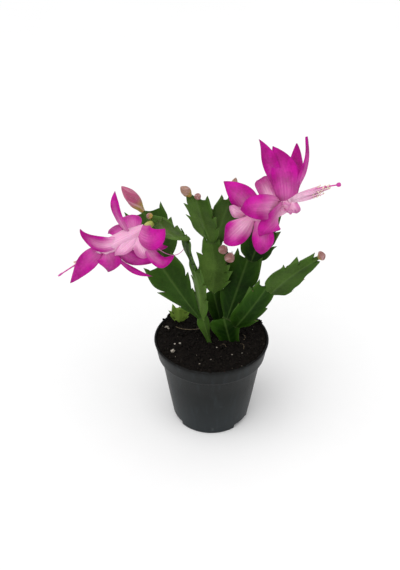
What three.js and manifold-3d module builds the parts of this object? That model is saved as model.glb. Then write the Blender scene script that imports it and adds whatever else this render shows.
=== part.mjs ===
// Potted christmas cactus: three small plants and a young shoot in a nursery pot.
//
// Millimetres, +Z up. The origin is the centre of the pot's underside. The front is -Y, and +X is
// to the right as seen from the front. Each plant is one solid of flat toothed segments that grow
// out of each other's ends. Blooms and buds sit on small bosses, a hair's gap off them.

import * as THREE from 'three';
import { mergeVertices } from 'three/addons/utils/BufferGeometryUtils.js';
import Module from 'manifold-3d';

const wasm = await Module();
wasm.setup();

// Clearance between neighbouring pieces.
const GAP = 0.3;

// Pot: outer radii and heights, the cut-outs in its foot and the drain holes in its floor.
const POT_HEIGHT = 50;
const RIM_RADIUS = 30;
const LIP_WIDTH = 1.2;
const COLLAR_HEIGHT = 9.5;
const COLLAR_FOOT_RADIUS = 28.3;
const BODY_TOP_RADIUS = 26.5;
const BODY_FOOT_RADIUS = 20.5;
const WALL = 1;
const FLOOR = 1.2;
const EDGE = 0.6;
const POT_SIDES = 40;
const NOTCH = { bearings: [205, 325, 85], width: 12, height: 2.8, inner: 17 };
const DRAIN = { holes: 6, radius: 2.5, circle: 11, start: 15 };

// Soil, and the plain oval holes that the stems stand in.
const SOIL_TOP = 49.1;
const SOIL_MOUND = 0.7;
const SOIL_RINGS = 10;
const ROOT_DEPTH = 8;
const HOLE_ROOM = [1.9, 0.9];
const HOLE_SIDES = 16;
const SURFACE = SOIL_TOP - 2;

const COLOURS = {
  pot: { color: 0x33383a, roughness: 0.45, metalness: 0 },
  soil: { color: 0x1d1613, roughness: 1, metalness: 0 },
  stem: { color: 0x37601f, roughness: 0.45, metalness: 0 },
  youngStem: { color: 0x6f8f35, roughness: 0.5, metalness: 0 },
  petal: { color: 0xb8239a, roughness: 0.5, metalness: 0 },
  ovary: { color: 0x9aa43c, roughness: 0.5, metalness: 0 },
  stamen: { color: 0xe9bcd6, roughness: 0.6, metalness: 0 },
  style: { color: 0xb03a90, roughness: 0.5, metalness: 0 },
  bud: { color: 0xb07c6c, roughness: 0.5, metalness: 0 },
};

// Segments: thickness at the midrib and the edge, how fast it falls between them, and how deep a
// segment is sunk in the one it grows from. A side tooth or an end horn reaches forward and out,
// over a notch. NECK is the narrowest part of a segment, and a bare one has no teeth.
const MIDRIB = 2.3;
const SEGMENT_EDGE = 0.7;
const THINNING = 0.7;
const SUNK = 1.5;
const NECK = 0.16;
const TOOTH = { reach: 1.8, out: 1.5, notch: 1.3 };
const HORN = { reach: 2.5, out: 0.7, notch: 1.2 };
const BARE_SWELL = [[0, 0], [0.25, 0.1], [0.5, 0.5], [0.7, 0.88], [0.83, 1], [0.94, 0.8], [1, 0.35]];
const SEGMENT_SHAPE = {
  aside: 0, back: 0, sag: 0, sway: 0, fold: 0.08, belly: 0.66, base: 1.8, end: 0.72, neck: NECK,
  left: [0.4, 0.7], right: [0.42, 0.72], leftSize: [1, 1], rightSize: [1, 1], horns: [1, 1],
};

// The three plants and the shoot. A segment grows from the end of the one it is on, or from the
// soil at foot: [x, y]. lean is its angle from upright and heading its bearing in plan, 0 to the
// right and 90 away from the front. turn rolls the blade about its own line, and at 0 its flat side
// looks to the front. sag bows the blade out of its flat side, and sway bows it edgewise. fold
// lifts both wings off the midrib. The outline is widest at belly, round below it where base is
// large, and narrows to end. left and right say where the side teeth are, leftSize and rightSize
// how large each one is, and horns the size of the two horns at the end.
const PLANTS = {
  stem_left: [
    {
      name: 'L1', foot: [-0.4, -4.8], root: [2, 1.2], length: 20.5, width: 6.5, lean: 14,
      heading: 188, turn: 30, neck: 0.34, bare: true,
    },
    {
      name: 'A0', on: 'L1', length: 30.5, width: 10.5, lean: 8, heading: 235, turn: -52, sag: -1.5,
      belly: 0.4, base: 3, neck: 0.5,
    },
    {
      name: 'A1', on: 'A0', length: 22.5, width: 12, lean: 21, heading: 241, turn: -66, sag: 1,
      belly: 0.6,
    },
    {
      name: 'A2', on: 'A1', length: 21, width: 13, lean: 45, heading: 218, turn: -14, sag: 2,
      belly: 0.45, end: 0.5, leftSize: [0.7, 0.5], horns: [0.3, 0.8],
    },
    {
      name: 'S1', on: 'L1', aside: -1, length: 34.5, width: 19, lean: 37, heading: 161, turn: -8,
      sag: 1, belly: 0.78, base: 1.3, end: 0.8, left: [0.3, 0.6], leftSize: [0.3, 1.4],
      right: [0.45, 0.66], rightSize: [0.5, 0.9],
    },
    {
      name: 'S2', on: 'S1', aside: 3, length: 27, width: 21, lean: 22, heading: 157, turn: -8,
      sag: -1, belly: 0.5, base: 2.4, end: 0.85, rightSize: [0.6, 0.8],
    },
  ],
  stem_middle: [
    {
      name: 'M0', foot: [5.8, 9], root: [2.4, 1.3], length: 30.2, width: 11, lean: 14.3,
      heading: 222, turn: 20, neck: 0.5, bare: true,
    },
    {
      name: 'M1', on: 'M0', length: 30.5, width: 16, lean: 5, heading: 260, turn: -18, sag: -1,
      sway: 1, fold: 0.25, belly: 0.42, base: 2.8, end: 0.4, left: [0.3, 0.45, 0.7],
      leftSize: [0.1, 0.1, 1.2], right: [0.27, 0.46, 0.6], rightSize: [1.2, 1.6, 1],
    },
    {
      name: 'M2', on: 'M1', length: 28.5, width: 14, lean: 20, heading: 226, turn: -25, sag: 1,
      belly: 0.5, base: 2.2, end: 0.75, left: [0.56, 0.8], leftSize: [1.3, 1.2],
      right: [0.4, 0.64], horns: [0.4, 1],
    },
    {
      name: 'M3', on: 'M1', aside: 1.5, length: 26, width: 16, lean: 16.5, heading: 331, turn: 14,
      sag: -1, belly: 0.48, base: 3.2, end: 0.5, neck: 0.5, left: [0.45, 0.73],
      leftSize: [0.5, 0.9], horns: [1, 0.2],
    },
    {
      name: 'M4', on: 'M0', length: 21.5, width: 9.5, lean: 36, heading: 40, turn: 0, sag: -1.6,
      horns: [0.8, 0.2],
    },
  ],
  stem_right: [
    {
      name: 'C1', foot: [10.2, -3.4], root: [4.4, 1.4], length: 17, width: 16, lean: 14,
      heading: 165, turn: 0, neck: 0.6, bare: true,
    },
    {
      name: 'R1', on: 'C1', aside: 2, length: 34, width: 17, lean: 22, heading: 38, turn: -15,
      sag: -0.5, belly: 0.6, base: 2.6, end: 0.7, neck: 0.3, right: [0.3, 0.6],
      rightSize: [0.3, 1.2],
    },
    {
      name: 'R2', on: 'C1', aside: 5.2, back: 5.5, length: 30.5, width: 14, lean: 29, heading: 345,
      turn: 0, sag: 1, belly: 0.42, base: 3.5, end: 0.7, neck: 0.4, left: [0.5, 0.82],
      leftSize: [0.4, 1.1], right: [0.3, 0.62], rightSize: [0.7, 0.4], horns: [1, 0.4],
    },
    {
      name: 'R3', on: 'R2', aside: 4, back: 1.6, length: 29, width: 15, lean: 42, heading: 346,
      turn: 0, sag: 1, sway: -2, belly: 0.32, base: 3.6, end: 0.28, neck: 0.3, left: [0.58, 0.78],
      leftSize: [1, 1.7], right: [0.3, 0.6], rightSize: [0.15, 0.15], horns: [1.2, 0.4],
    },
    {
      name: 'G1', on: 'R1', aside: 1.8, back: 0.8, length: 23, width: 16, lean: 28, heading: 48,
      turn: 0, sag: 1, belly: 0.4, base: 3.4, neck: 0.3,
    },
  ],
  stem_young: [
    {
      name: 'Y1', foot: [-17.6, 14], root: [2.2, 1.2], length: 12, width: 9, lean: 5, heading: 300,
      turn: 0, neck: 0.5,
    },
  ],
};

// Petals: thickness in the middle and at the edge, how much the sides curl back, the half width
// left at the tip, and the half width along the length, in six kinds.
const PETAL_MIDDLE = 0.9;
const PETAL_EDGE = 0.6;
const PETAL_CURL = 0.18;
const PETAL_TIP = 0.4;
const PETAL_COLUMNS = [-1, -0.55, 0, 0.55, 1];
const PETAL_OUTLINES = {
  pointed: [
    [0, 0.3], [0.15, 0.55], [0.32, 0.85], [0.5, 1], [0.68, 0.88], [0.84, 0.52], [0.95, 0.2], [1, 0.06],
  ],
  round: [
    [0, 0.35], [0.15, 0.65], [0.32, 0.92], [0.52, 1], [0.72, 0.92], [0.87, 0.66], [0.96, 0.36], [1, 0.12],
  ],
  broad: [[0, 0.6], [0.12, 0.85], [0.35, 1], [0.6, 0.97], [0.8, 0.8], [0.92, 0.5], [1, 0.12]],
  wing: [[0, 0.6], [0.2, 0.88], [0.4, 1], [0.6, 0.9], [0.8, 0.58], [0.93, 0.26], [1, 0.08]],
  square: [[0, 0.6], [0.25, 0.85], [0.55, 1], [0.82, 1], [0.94, 0.85], [1, 0.5]],
  strap: [[0, 0.35], [0.2, 0.5], [0.4, 0.8], [0.6, 1], [0.8, 0.8], [0.93, 0.4], [1, 0.15]],
};

// The heart of a bloom. The ovary's profile is [part of its length, radius]. The stamens stand in a
// ring round the style, in a dimple of the throat.
const OVARY_LENGTH = 5;
const OVARY_PROFILE = [[0, 1], [0.25, 1.5], [0.6, 1.6], [1, 1.3]];
const ROUND_SIDES = 10;
const STYLE_RADIUS = 0.5;
const STIGMA_RADIUS = 1.3;
const FILAMENT_RADIUS = 0.4;
const ANTHER_RADIUS = 0.85;
const RING = { radius: 1.7, length: 2.5, flare: 0.3 };
const THROAT_DEPTH = 9;

// A bloom's tube leaves its boss, bends at mid and opens at mouth, both measured from the boss. A
// petal is rooted at a part of the tube's length, reaches to its tip, bows off that line by belly,
// and its broad side looks along face. Every triple is [right, away, up].
const BLOOMS = {
  right: {
    on: 'M3',
    aside: 1,
    back: 0.5,
    boss: 2.4,
    tube: { mid: [8, -9.5, -8.5], mouth: [24, -10.5, 7], radii: [1.7, 2.8, 3.4] },
    stamens: { reach: [17.5, 0.5, 8.2], spread: 2.8, count: 9 },
    style: [21, 0, 8.5],
    petals: [
      {
        at: 0.42, reach: [-13.2, 7, 14.2], belly: [1.2, -2.5, 1.6], width: 12,
        face: [0, -0.9, 0.4], kind: 'wing',
      },
      {
        at: 0.4, reach: [-12.3, -5, -10.3], belly: [-0.5, -6.5, 2.6], width: 11.5,
        face: [-0.3, -0.9, 0.5], kind: 'round',
      },
      {
        at: 0.32, reach: [-8, -1, 5.5], belly: [-1, -3, 0.5], width: 6, face: [-0.2, -1, 0],
        kind: 'broad',
      },
      {
        at: 0.5, reach: [2.5, -6, -16], belly: [1.5, -7, 3], width: 10, face: [0, -1, 0.1],
        kind: 'round',
      },
      {
        at: 0.86, reach: [-8.2, -7.5, -9.8], belly: [2, -5.5, 3.2], width: 12.5,
        face: [0.4, -0.9, -0.2], kind: 'broad',
      },
      {
        at: 0.9, reach: [-18.5, -7, 2.5], belly: [-0.5, -8, 4.6], width: 11, face: [0, -1, 0.5],
        kind: 'broad',
      },
      {
        at: 0.8, reach: [-6, 15.5, 8.8], belly: [0, 3.5, 0], width: 8, face: [-0.2, -0.8, 0.6],
        kind: 'square',
      },
      {
        at: 0.92, reach: [-11.5, 9, 28], belly: [-0.2, -4, 4.2], width: 7.5, face: [-0.4, -1, 0.1],
        kind: 'pointed',
      },
      {
        at: 0.95, reach: [-6.3, 7, 24.8], belly: [1, -4.5, 3], width: 12.5, face: [0.1, -1, 0.2],
        kind: 'wing',
      },
      {
        at: 0.97, reach: [4, 13, 23.2], belly: [1.5, 0.5, 1], width: 8, face: [0.2, -1, 0.4],
        kind: 'wing',
      },
      {
        at: 1, reach: [6.3, 7, 28], belly: [3.4, -0.5, 1.5], width: 7, face: [1, -0.6, 0],
        kind: 'pointed',
      },
      {
        at: 0.97, reach: [4.8, -2, -4], belly: [0, -2, 1.5], width: 6, face: [0, -1, 0.3],
        kind: 'broad',
      },
      {
        at: 0.45, reach: [-5.5, 13.5, 3], belly: [0, 2, 4], width: 10, face: [0, 0.2, 1],
        kind: 'pointed',
      },
      {
        at: 0.7, reach: [4, 13.5, -4], belly: [1, 2, 3.5], width: 11, face: [0, 0.4, 1],
        kind: 'round',
      },
      {
        at: 0.9, reach: [4, 20, 10], belly: [1, 3, 3], width: 11, face: [0, -0.4, 1],
        kind: 'pointed',
      },
    ],
  },
  left: {
    on: 'A2',
    aside: -1,
    back: 0.5,
    boss: 2.2,
    tube: { mid: [-8.5, -3, -4], mouth: [-23.5, -2, -13], radii: [1.7, 3.6, 3.4] },
    stamens: { reach: [-14, 5, -11], spread: 2.6, count: 7 },
    style: [-20.5, 5, -16.2],
    petals: [
      {
        at: 0.5, reach: [-6, 3.5, 19.6], belly: [-2.2, -4, 2.3], width: 5, face: [-0.5, -1, 0.2],
        kind: 'pointed',
      },
      {
        at: 0.5, reach: [-20, 1.2, 2.8], belly: [-2.8, -4.5, -4.2], width: 7.4, face: [0, -1, 0.2],
        kind: 'pointed',
      },
      {
        at: 1, reach: [-16.2, 3, -19.8], belly: [0.5, -3.5, 3.8], width: 8.5,
        face: [-0.3, -1, 0.4], kind: 'wing',
      },
      {
        at: 0.95, reach: [0.4, 1.5, -13], belly: [2, -4.5, 2], width: 11, face: [0, -1, 0],
        kind: 'pointed',
      },
      {
        at: 0.8, reach: [16.2, 7.5, -14.3], belly: [0, -3, -1], width: 8, face: [0, -1, -0.1],
        kind: 'round',
      },
      {
        at: 0.35, reach: [12.3, -6, 4.7], belly: [0.5, -5, -1.4], width: 11, face: [-0.2, -1, 0.3],
        kind: 'wing',
      },
      {
        at: 0.3, reach: [14, -3, -13.2], belly: [0.2, -5, -4.6], width: 5.4, face: [0.3, -1, 0.3],
        kind: 'round',
      },
      {
        at: 0.3, reach: [3.6, -4, -11.5], belly: [-0.6, -3, -1], width: 8, face: [0.1, -1, 0.2],
        kind: 'broad',
      },
      {
        at: 0.3, reach: [-11.3, -4, -11], belly: [-0.5, -2.5, 0.5], width: 7.5,
        face: [-0.2, -1, 0.2], kind: 'wing',
      },
      {
        at: 0.45, reach: [14.8, 1.5, -7], belly: [1.5, -2.5, -1.5], width: 4.5, face: [0, -1, 0.2],
        kind: 'pointed',
      },
      {
        at: 0.45, reach: [-2.5, 15.5, 0.8], belly: [-0.5, 1.5, 2], width: 10, face: [0, -0.3, 1],
        kind: 'round',
      },
      {
        at: 0.6, reach: [-8.5, 13.5, -3.4], belly: [-0.5, 1, 2], width: 8, face: [0, -0.4, 1],
        kind: 'round',
      },
      {
        at: 0.9, reach: [19.2, 1.5, -16.2], belly: [-0.5, -1.5, -2.4], width: 2.6,
        face: [0, -1, 0.2], kind: 'strap',
      },
      {
        at: 0.7, reach: [-5.5, 16, -13], belly: [0, 4, -1], width: 9, face: [0, 0.4, 1],
        kind: 'pointed',
      },
      {
        at: 0.95, reach: [-8, 16, -8], belly: [0.5, 2, 1], width: 9, face: [0, 0.3, 1],
        kind: 'pointed',
      },
    ],
  },
};

// Buds. aside and back shift the boss off the middle of the segment's end, across the blade and
// back down it. reach is from the boss to the bud's tip.
const BUDS = {
  bud_left_large: { on: 'S2', aside: -0.6, back: 0.8, reach: [-9.6, -4, 15.9], radius: 3.2 },
  bud_left_small: { on: 'A2', aside: 0, back: 0, boss: 3, reach: [-5.9, 3, 0], radius: 1.5 },
  bud_middle_large: {
    on: 'M2', aside: -2.2, back: 0.8, boss: 2, reach: [-6, -1.6, 6.8], radius: 2.3,
  },
  bud_middle_small: { on: 'M2', aside: 0.2, back: 0, reach: [-0.2, -3.2, 2.4], radius: 1.6 },
  bud_front_upper: { on: 'M1', aside: 3.4, back: 4.4, boss: 3, reach: [2, -6.2, 3.4], radius: 2.3 },
  bud_front_lower: {
    on: 'M1', aside: 5.6, back: 7.5, boss: 3, reach: [3.3, -7.6, 2.6], radius: 2.6,
  },
  bud_back: { on: 'M3', aside: 0.3, back: 0, reach: [2.6, 5, 8.5], radius: 2 },
  bud_right: { on: 'R3', aside: 0, back: 0, boss: 1.6, reach: [4.6, -0.8, 3.2], radius: 2.4 },
};

// Profile of a bud from its foot to its tip: [part of the length, part of the radius].
const BUD_PROFILE = [[0, 0.42], [0.12, 0.6], [0.32, 0.93], [0.5, 1], [0.7, 0.86], [0.87, 0.5], [1, 0.1]];
const BUD_SIDES = 8;

// The small boss that carries a bud or a bloom.
const BOSS_RADIUS = 1.1;
const BOSS_HEIGHT = 1.2;
const BOSS_SIDES = 8;

const UP = new THREE.Vector3(0, 0, 1);
const RIGHT = new THREE.Vector3(1, 0, 0);
const LATHE_AXIS = new THREE.Vector3(0, 1, 0);

const vec = ([x, y, z]) => new THREE.Vector3(x, y, z);
const radians = THREE.MathUtils.degToRad;
const lerp = THREE.MathUtils.lerp;
const clamp = THREE.MathUtils.clamp;

// Turns a closed geometry into a solid for joining and cutting.
function solid(geometry) {
  const bare = new THREE.BufferGeometry();
  bare.setAttribute('position', geometry.getAttribute('position').clone());
  if (geometry.index) bare.setIndex(geometry.index.clone());
  const merged = mergeVertices(bare, 1e-4);
  const position = merged.getAttribute('position').array;
  const index = merged.index.array;
  const corners = [];
  let volume = 0;
  for (let i = 0; i < index.length; i += 3) {
    const [a, b, c] = [index[i], index[i + 1], index[i + 2]];
    if (a === b || b === c || c === a) continue;
    corners.push(a, b, c);
    const [p, q, r] = [a, b, c].map((k) => new THREE.Vector3().fromArray(position, 3 * k));
    volume += p.dot(q.cross(r));
  }
  if (volume < 0) corners.reverse();
  return new wasm.Manifold(new wasm.Mesh({
    numProp: 3,
    vertProperties: new Float32Array(position),
    triVerts: new Uint32Array(corners),
  }));
}

// The largest body of a solid: a hollow that joining sealed is filled, and a loose scrap dropped.
function largest(whole) {
  return whole.decompose().reduce((best, body) => (body.volume() > best.volume() ? body : best));
}

function joined(solids) {
  return largest(solids.reduce((whole, next) => whole.add(next)));
}

function indexed(corners, index) {
  const geometry = new THREE.BufferGeometry();
  geometry.setAttribute('position', new THREE.BufferAttribute(new Float32Array(corners), 3));
  geometry.setIndex(index);
  return geometry;
}

function meshOf(name, finish, body) {
  const { vertProperties, triVerts } = body.getMesh();
  const geometry = indexed(vertProperties, Array.from(triVerts));
  geometry.computeVertexNormals();
  const mesh = new THREE.Mesh(geometry, new THREE.MeshStandardMaterial(COLOURS[finish]));
  mesh.name = name;
  return mesh;
}

// A closed sheet over a grid: point(i, j, side) gives the upper (1) or lower (-1) corner. Both
// faces are split along the same diagonals.
function sheet(rows, columns, point) {
  const corners = [];
  for (const side of [1, -1]) {
    for (let i = 0; i < rows; i++) {
      for (let j = 0; j < columns; j++) corners.push(...point(i, j, side).toArray());
    }
  }
  const index = [];
  const at = (i, j, side) => (side > 0 ? 0 : rows * columns) + i * columns + j;
  for (let i = 0; i + 1 < rows; i++) {
    for (let j = 0; j + 1 < columns; j++) {
      index.push(at(i, j, 1), at(i, j + 1, 1), at(i + 1, j + 1, 1));
      index.push(at(i, j, 1), at(i + 1, j + 1, 1), at(i + 1, j, 1));
      index.push(at(i, j, -1), at(i + 1, j + 1, -1), at(i, j + 1, -1));
      index.push(at(i, j, -1), at(i + 1, j, -1), at(i + 1, j + 1, -1));
    }
  }
  const rim = [];
  for (let j = 0; j < columns; j++) rim.push([0, j]);
  for (let i = 1; i < rows; i++) rim.push([i, columns - 1]);
  for (let j = columns - 2; j >= 0; j--) rim.push([rows - 1, j]);
  for (let i = rows - 2; i > 0; i--) rim.push([i, 0]);
  rim.forEach(([i, j], k) => {
    const [m, n] = rim[(k + 1) % rim.length];
    index.push(at(i, j, 1), at(i, j, -1), at(m, n, -1));
    index.push(at(i, j, 1), at(m, n, -1), at(m, n, 1));
  });
  return indexed(corners, index);
}

// A closed solid through rings of points, capped flat at both ends.
function loft(rings) {
  const sides = rings[0].length;
  const corners = rings.flat().flatMap((p) => p.toArray());
  const index = [];
  for (let i = 0; i + 1 < rings.length; i++) {
    for (let k = 0; k < sides; k++) {
      const a = i * sides + k;
      const b = i * sides + ((k + 1) % sides);
      index.push(a, b, b + sides, a, b + sides, a + sides);
    }
  }
  const last = (rings.length - 1) * sides;
  for (let k = 1; k + 1 < sides; k++) {
    index.push(0, k + 1, k);
    index.push(last, last + k, last + k + 1);
  }
  return indexed(corners, index);
}

// A round solid along a curve, from a part of its length to its end. radiusAt gives its radius.
function tubeAlong(curve, from, radiusAt, steps, sides) {
  const rings = [];
  for (let i = 0; i <= steps; i++) {
    const part = i / steps;
    const t = lerp(from, 1, part);
    const [a, b] = crossing(curve.getTangent(t));
    const centre = curve.getPoint(t);
    rings.push(Array.from({ length: sides }, (_, k) => {
      const angle = (2 * Math.PI * k) / sides;
      return centre.clone()
        .addScaledVector(a, radiusAt(part) * Math.cos(angle))
        .addScaledVector(b, radiusAt(part) * Math.sin(angle));
    }));
  }
  return solid(loft(rings));
}

// Two directions across a line, the first as near upright as it can be.
function crossing(along) {
  const a = UP.clone().addScaledVector(along, -along.dot(UP)).normalize();
  return [a, new THREE.Vector3().crossVectors(along, a)];
}

// A round body along a straight line: rings are [part of the length, radius].
function spindle(start, reach, rings, sides) {
  const length = reach.length();
  const profile = [
    new THREE.Vector2(0, rings[0][0] * length),
    ...rings.map(([part, radius]) => new THREE.Vector2(radius, part * length)),
    new THREE.Vector2(0, rings[rings.length - 1][0] * length),
  ];
  const geometry = new THREE.LatheGeometry(profile, sides);
  const tilt = new THREE.Quaternion().setFromUnitVectors(LATHE_AXIS, reach.clone().normalize());
  geometry.applyQuaternion(tilt);
  geometry.translate(start.x, start.y, start.z);
  return solid(geometry);
}

// An upright oval column.
function oval([x, y], [a, b], turn, bottom, top) {
  const geometry = new THREE.CylinderGeometry(1, 1, top - bottom, HOLE_SIDES);
  geometry.rotateX(Math.PI / 2);
  geometry.scale(a, b, 1);
  geometry.rotateZ(radians(turn));
  geometry.translate(x, y, (top + bottom) / 2);
  return solid(geometry);
}

// How a segment lies: line(t) on its midrib, across its width and out of its flat side.
function segmentFrame(row, start) {
  const lean = radians(row.lean);
  const heading = radians(row.heading);
  const along = new THREE.Vector3(
    Math.sin(lean) * Math.cos(heading),
    Math.sin(lean) * Math.sin(heading),
    Math.cos(lean),
  );
  const across = RIGHT.clone().addScaledVector(along, -along.dot(RIGHT)).normalize();
  across.applyAxisAngle(along, radians(row.turn));
  const out = new THREE.Vector3().crossVectors(across, along);
  const sunk = row.foot ? 0 : SUNK;
  const bow = (t) => 4 * clamp(t, 0, 1) * (1 - clamp(t, 0, 1));
  const line = (t) => start.clone()
    .addScaledVector(along, lerp(-sunk, row.length, t))
    .addScaledVector(out, bow(t) * row.sag)
    .addScaledVector(across, bow(t) * row.sway);
  return { across, out, line, length: row.length };
}

// Half width of a segment at a part of its length, as a part of its widest.
function envelope(row, t) {
  const below = 1 - Math.max(0, 1 - t / row.belly) ** row.base;
  const above = 1 - (1 - row.end) * Math.max(0, (t - row.belly) / (1 - row.belly)) ** 2;
  return Math.max(row.neck, t < row.belly ? below : above);
}

// One side of a segment from its joint to its cut-off end, as [part of the length, half width]. The
// edge swells up to each tooth, which points forward over the notch behind it, and ends in a horn.
function sideOutline(row, teeth, sizes, hornSize) {
  const at = (t, more = 0) => [t, envelope(row, t) * row.width / 2 + more];
  const points = [at(0), at(0.06), at(0.15), at(lerp(0.15, teeth[0], 0.5))];
  teeth.forEach((tooth, k) => {
    const [, wide] = at(tooth);
    points.push(
      [tooth + TOOTH.reach * sizes[k] / row.length, wide + TOOTH.out * sizes[k]],
      [tooth + 0.01, wide - TOOTH.notch * sizes[k]],
      at(lerp(tooth, teeth[k + 1] ?? 0.97, 0.5), 0.2),
    );
  });
  const [, wide] = at(1);
  points.push(
    [1 + HORN.reach * hornSize / row.length, wide + HORN.out * hornSize],
    [0.985, wide - HORN.notch],
    [0.97, wide * 0.35],
  );
  return points;
}

function bareOutline(row) {
  return BARE_SWELL.map(([t, swell]) => [t, lerp(row.neck, 1, swell) * row.width / 2]);
}

function segmentBlade(row, frame) {
  const [leftHorn, rightHorn] = row.horns;
  const left = row.bare ? bareOutline(row) : sideOutline(row, row.left, row.leftSize, leftHorn);
  const right = row.bare ? left : sideOutline(row, row.right, row.rightSize, rightHorn);
  // The midrib's points lie between the two edges' points, and always go forward.
  const rib = [];
  left.forEach(([t], i) => {
    const forward = i ? rib[i - 1] + 0.01 : 0;
    rib.push(Math.min(Math.max((t + right[i][0]) / 2, forward), 1));
  });
  const columns = [-1, 0, 1];
  return solid(sheet(left.length, columns.length, (i, j, side) => {
    const u = Math.abs(columns[j]);
    const [edge, wide] = (columns[j] < 0 ? left : right)[i];
    const thick = lerp(MIDRIB, SEGMENT_EDGE, u ** THINNING) / 2;
    return frame.line(lerp(rib[i], edge, u))
      .addScaledVector(frame.across, columns[j] * wide)
      .addScaledVector(frame.out, side * thick + row.fold * u * wide);
  }));
}

// How each segment lies, by its name, filled in as the stems are made.
const frames = {};

// A point near the end of the segment that a row grows on: aside across it, back down it.
function placeOn(row) {
  const frame = frames[row.on];
  return frame.line(1 - row.back / frame.length).addScaledVector(frame.across, row.aside);
}

function bossAt(row) {
  const foot = placeOn(row);
  const direction = vec(row.reach ?? row.tube.mid).normalize();
  const height = row.boss ?? BOSS_HEIGHT;
  return { foot, direction, height, top: foot.clone().addScaledVector(direction, height) };
}

function boss(row) {
  const { foot, direction, height } = bossAt(row);
  const start = foot.clone().addScaledVector(direction, -BOSS_HEIGHT);
  const reach = direction.clone().multiplyScalar(BOSS_HEIGHT + height);
  return spindle(start, reach, [[0, BOSS_RADIUS], [1, BOSS_RADIUS]], BOSS_SIDES);
}

function plant(name, rows) {
  const solids = [];
  for (const given of rows) {
    const row = { ...SEGMENT_SHAPE, ...given };
    const frame = segmentFrame(row, row.foot ? vec([...row.foot, SURFACE]) : placeOn(row));
    frames[row.name] = frame;
    solids.push(segmentBlade(row, frame));
    if (row.foot) solids.push(oval(row.foot, row.root, row.turn, SOIL_TOP - ROOT_DEPTH, SOIL_TOP));
  }
  const names = rows.map((row) => row.name);
  for (const row of [...Object.values(BLOOMS), ...Object.values(BUDS)]) {
    if (names.includes(row.on)) solids.push(boss(row));
  }
  return meshOf(name, name === 'stem_young' ? 'youngStem' : 'stem', joined(solids));
}

function petal(row, tube) {
  const root = tube.getPoint(row.at);
  const tip = root.clone().add(vec(row.reach));
  const middle = root.clone().lerp(tip, 0.5).addScaledVector(vec(row.belly), 2);
  const midrib = new THREE.QuadraticBezierCurve3(root, middle, tip);
  const face = vec(row.face).normalize();
  const outline = PETAL_OUTLINES[row.kind];
  return solid(sheet(outline.length, PETAL_COLUMNS.length, (i, j, side) => {
    const [t, part] = outline[i];
    const u = PETAL_COLUMNS[j];
    const along = midrib.getTangent(t);
    const across = new THREE.Vector3().crossVectors(along, face).normalize();
    const out = new THREE.Vector3().crossVectors(across, along);
    const thick = lerp(PETAL_MIDDLE, PETAL_EDGE, Math.abs(u)) / 2;
    const half = Math.max((part * row.width) / 2, PETAL_TIP);
    return midrib.getPoint(t)
      .addScaledVector(across, u * half)
      .addScaledVector(out, side * thick - PETAL_CURL * u * u * half);
  }));
}

// The stamens stand in a ring and lean to one goal, and their tips spread. Every third is long.
function stamenSolids(bloom, mouth, out) {
  const ring = mouth.clone().addScaledVector(out, GAP);
  const ringProfile = [[0, RING.radius - RING.flare], [1, RING.radius]];
  const solids = [spindle(ring, out.clone().multiplyScalar(RING.length), ringProfile, ROUND_SIDES)];
  const [a, b] = crossing(out);
  const goal = mouth.clone().add(vec(bloom.stamens.reach));
  const { count, spread } = bloom.stamens;
  for (let k = 0; k < count; k++) {
    const angle = (2 * Math.PI * k) / count;
    const aside = a.clone().multiplyScalar(Math.cos(angle)).addScaledVector(b, Math.sin(angle));
    const root = ring.clone().addScaledVector(out, FILAMENT_RADIUS)
      .addScaledVector(aside, RING.radius - FILAMENT_RADIUS);
    const part = lerp(0.72, 1, ((k * 5) % count) / count);
    const tip = root.clone().lerp(goal, part).addScaledVector(aside, spread - RING.radius);
    const middle = root.clone().lerp(tip, 0.5).addScaledVector(aside, 0.9);
    const line = new THREE.QuadraticBezierCurve3(root, middle, tip);
    solids.push(tubeAlong(line, 0, () => FILAMENT_RADIUS, 4, 3));
    const anther = new THREE.OctahedronGeometry(ANTHER_RADIUS);
    anther.translate(tip.x, tip.y, tip.z);
    solids.push(solid(anther));
  }
  return solids;
}

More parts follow.
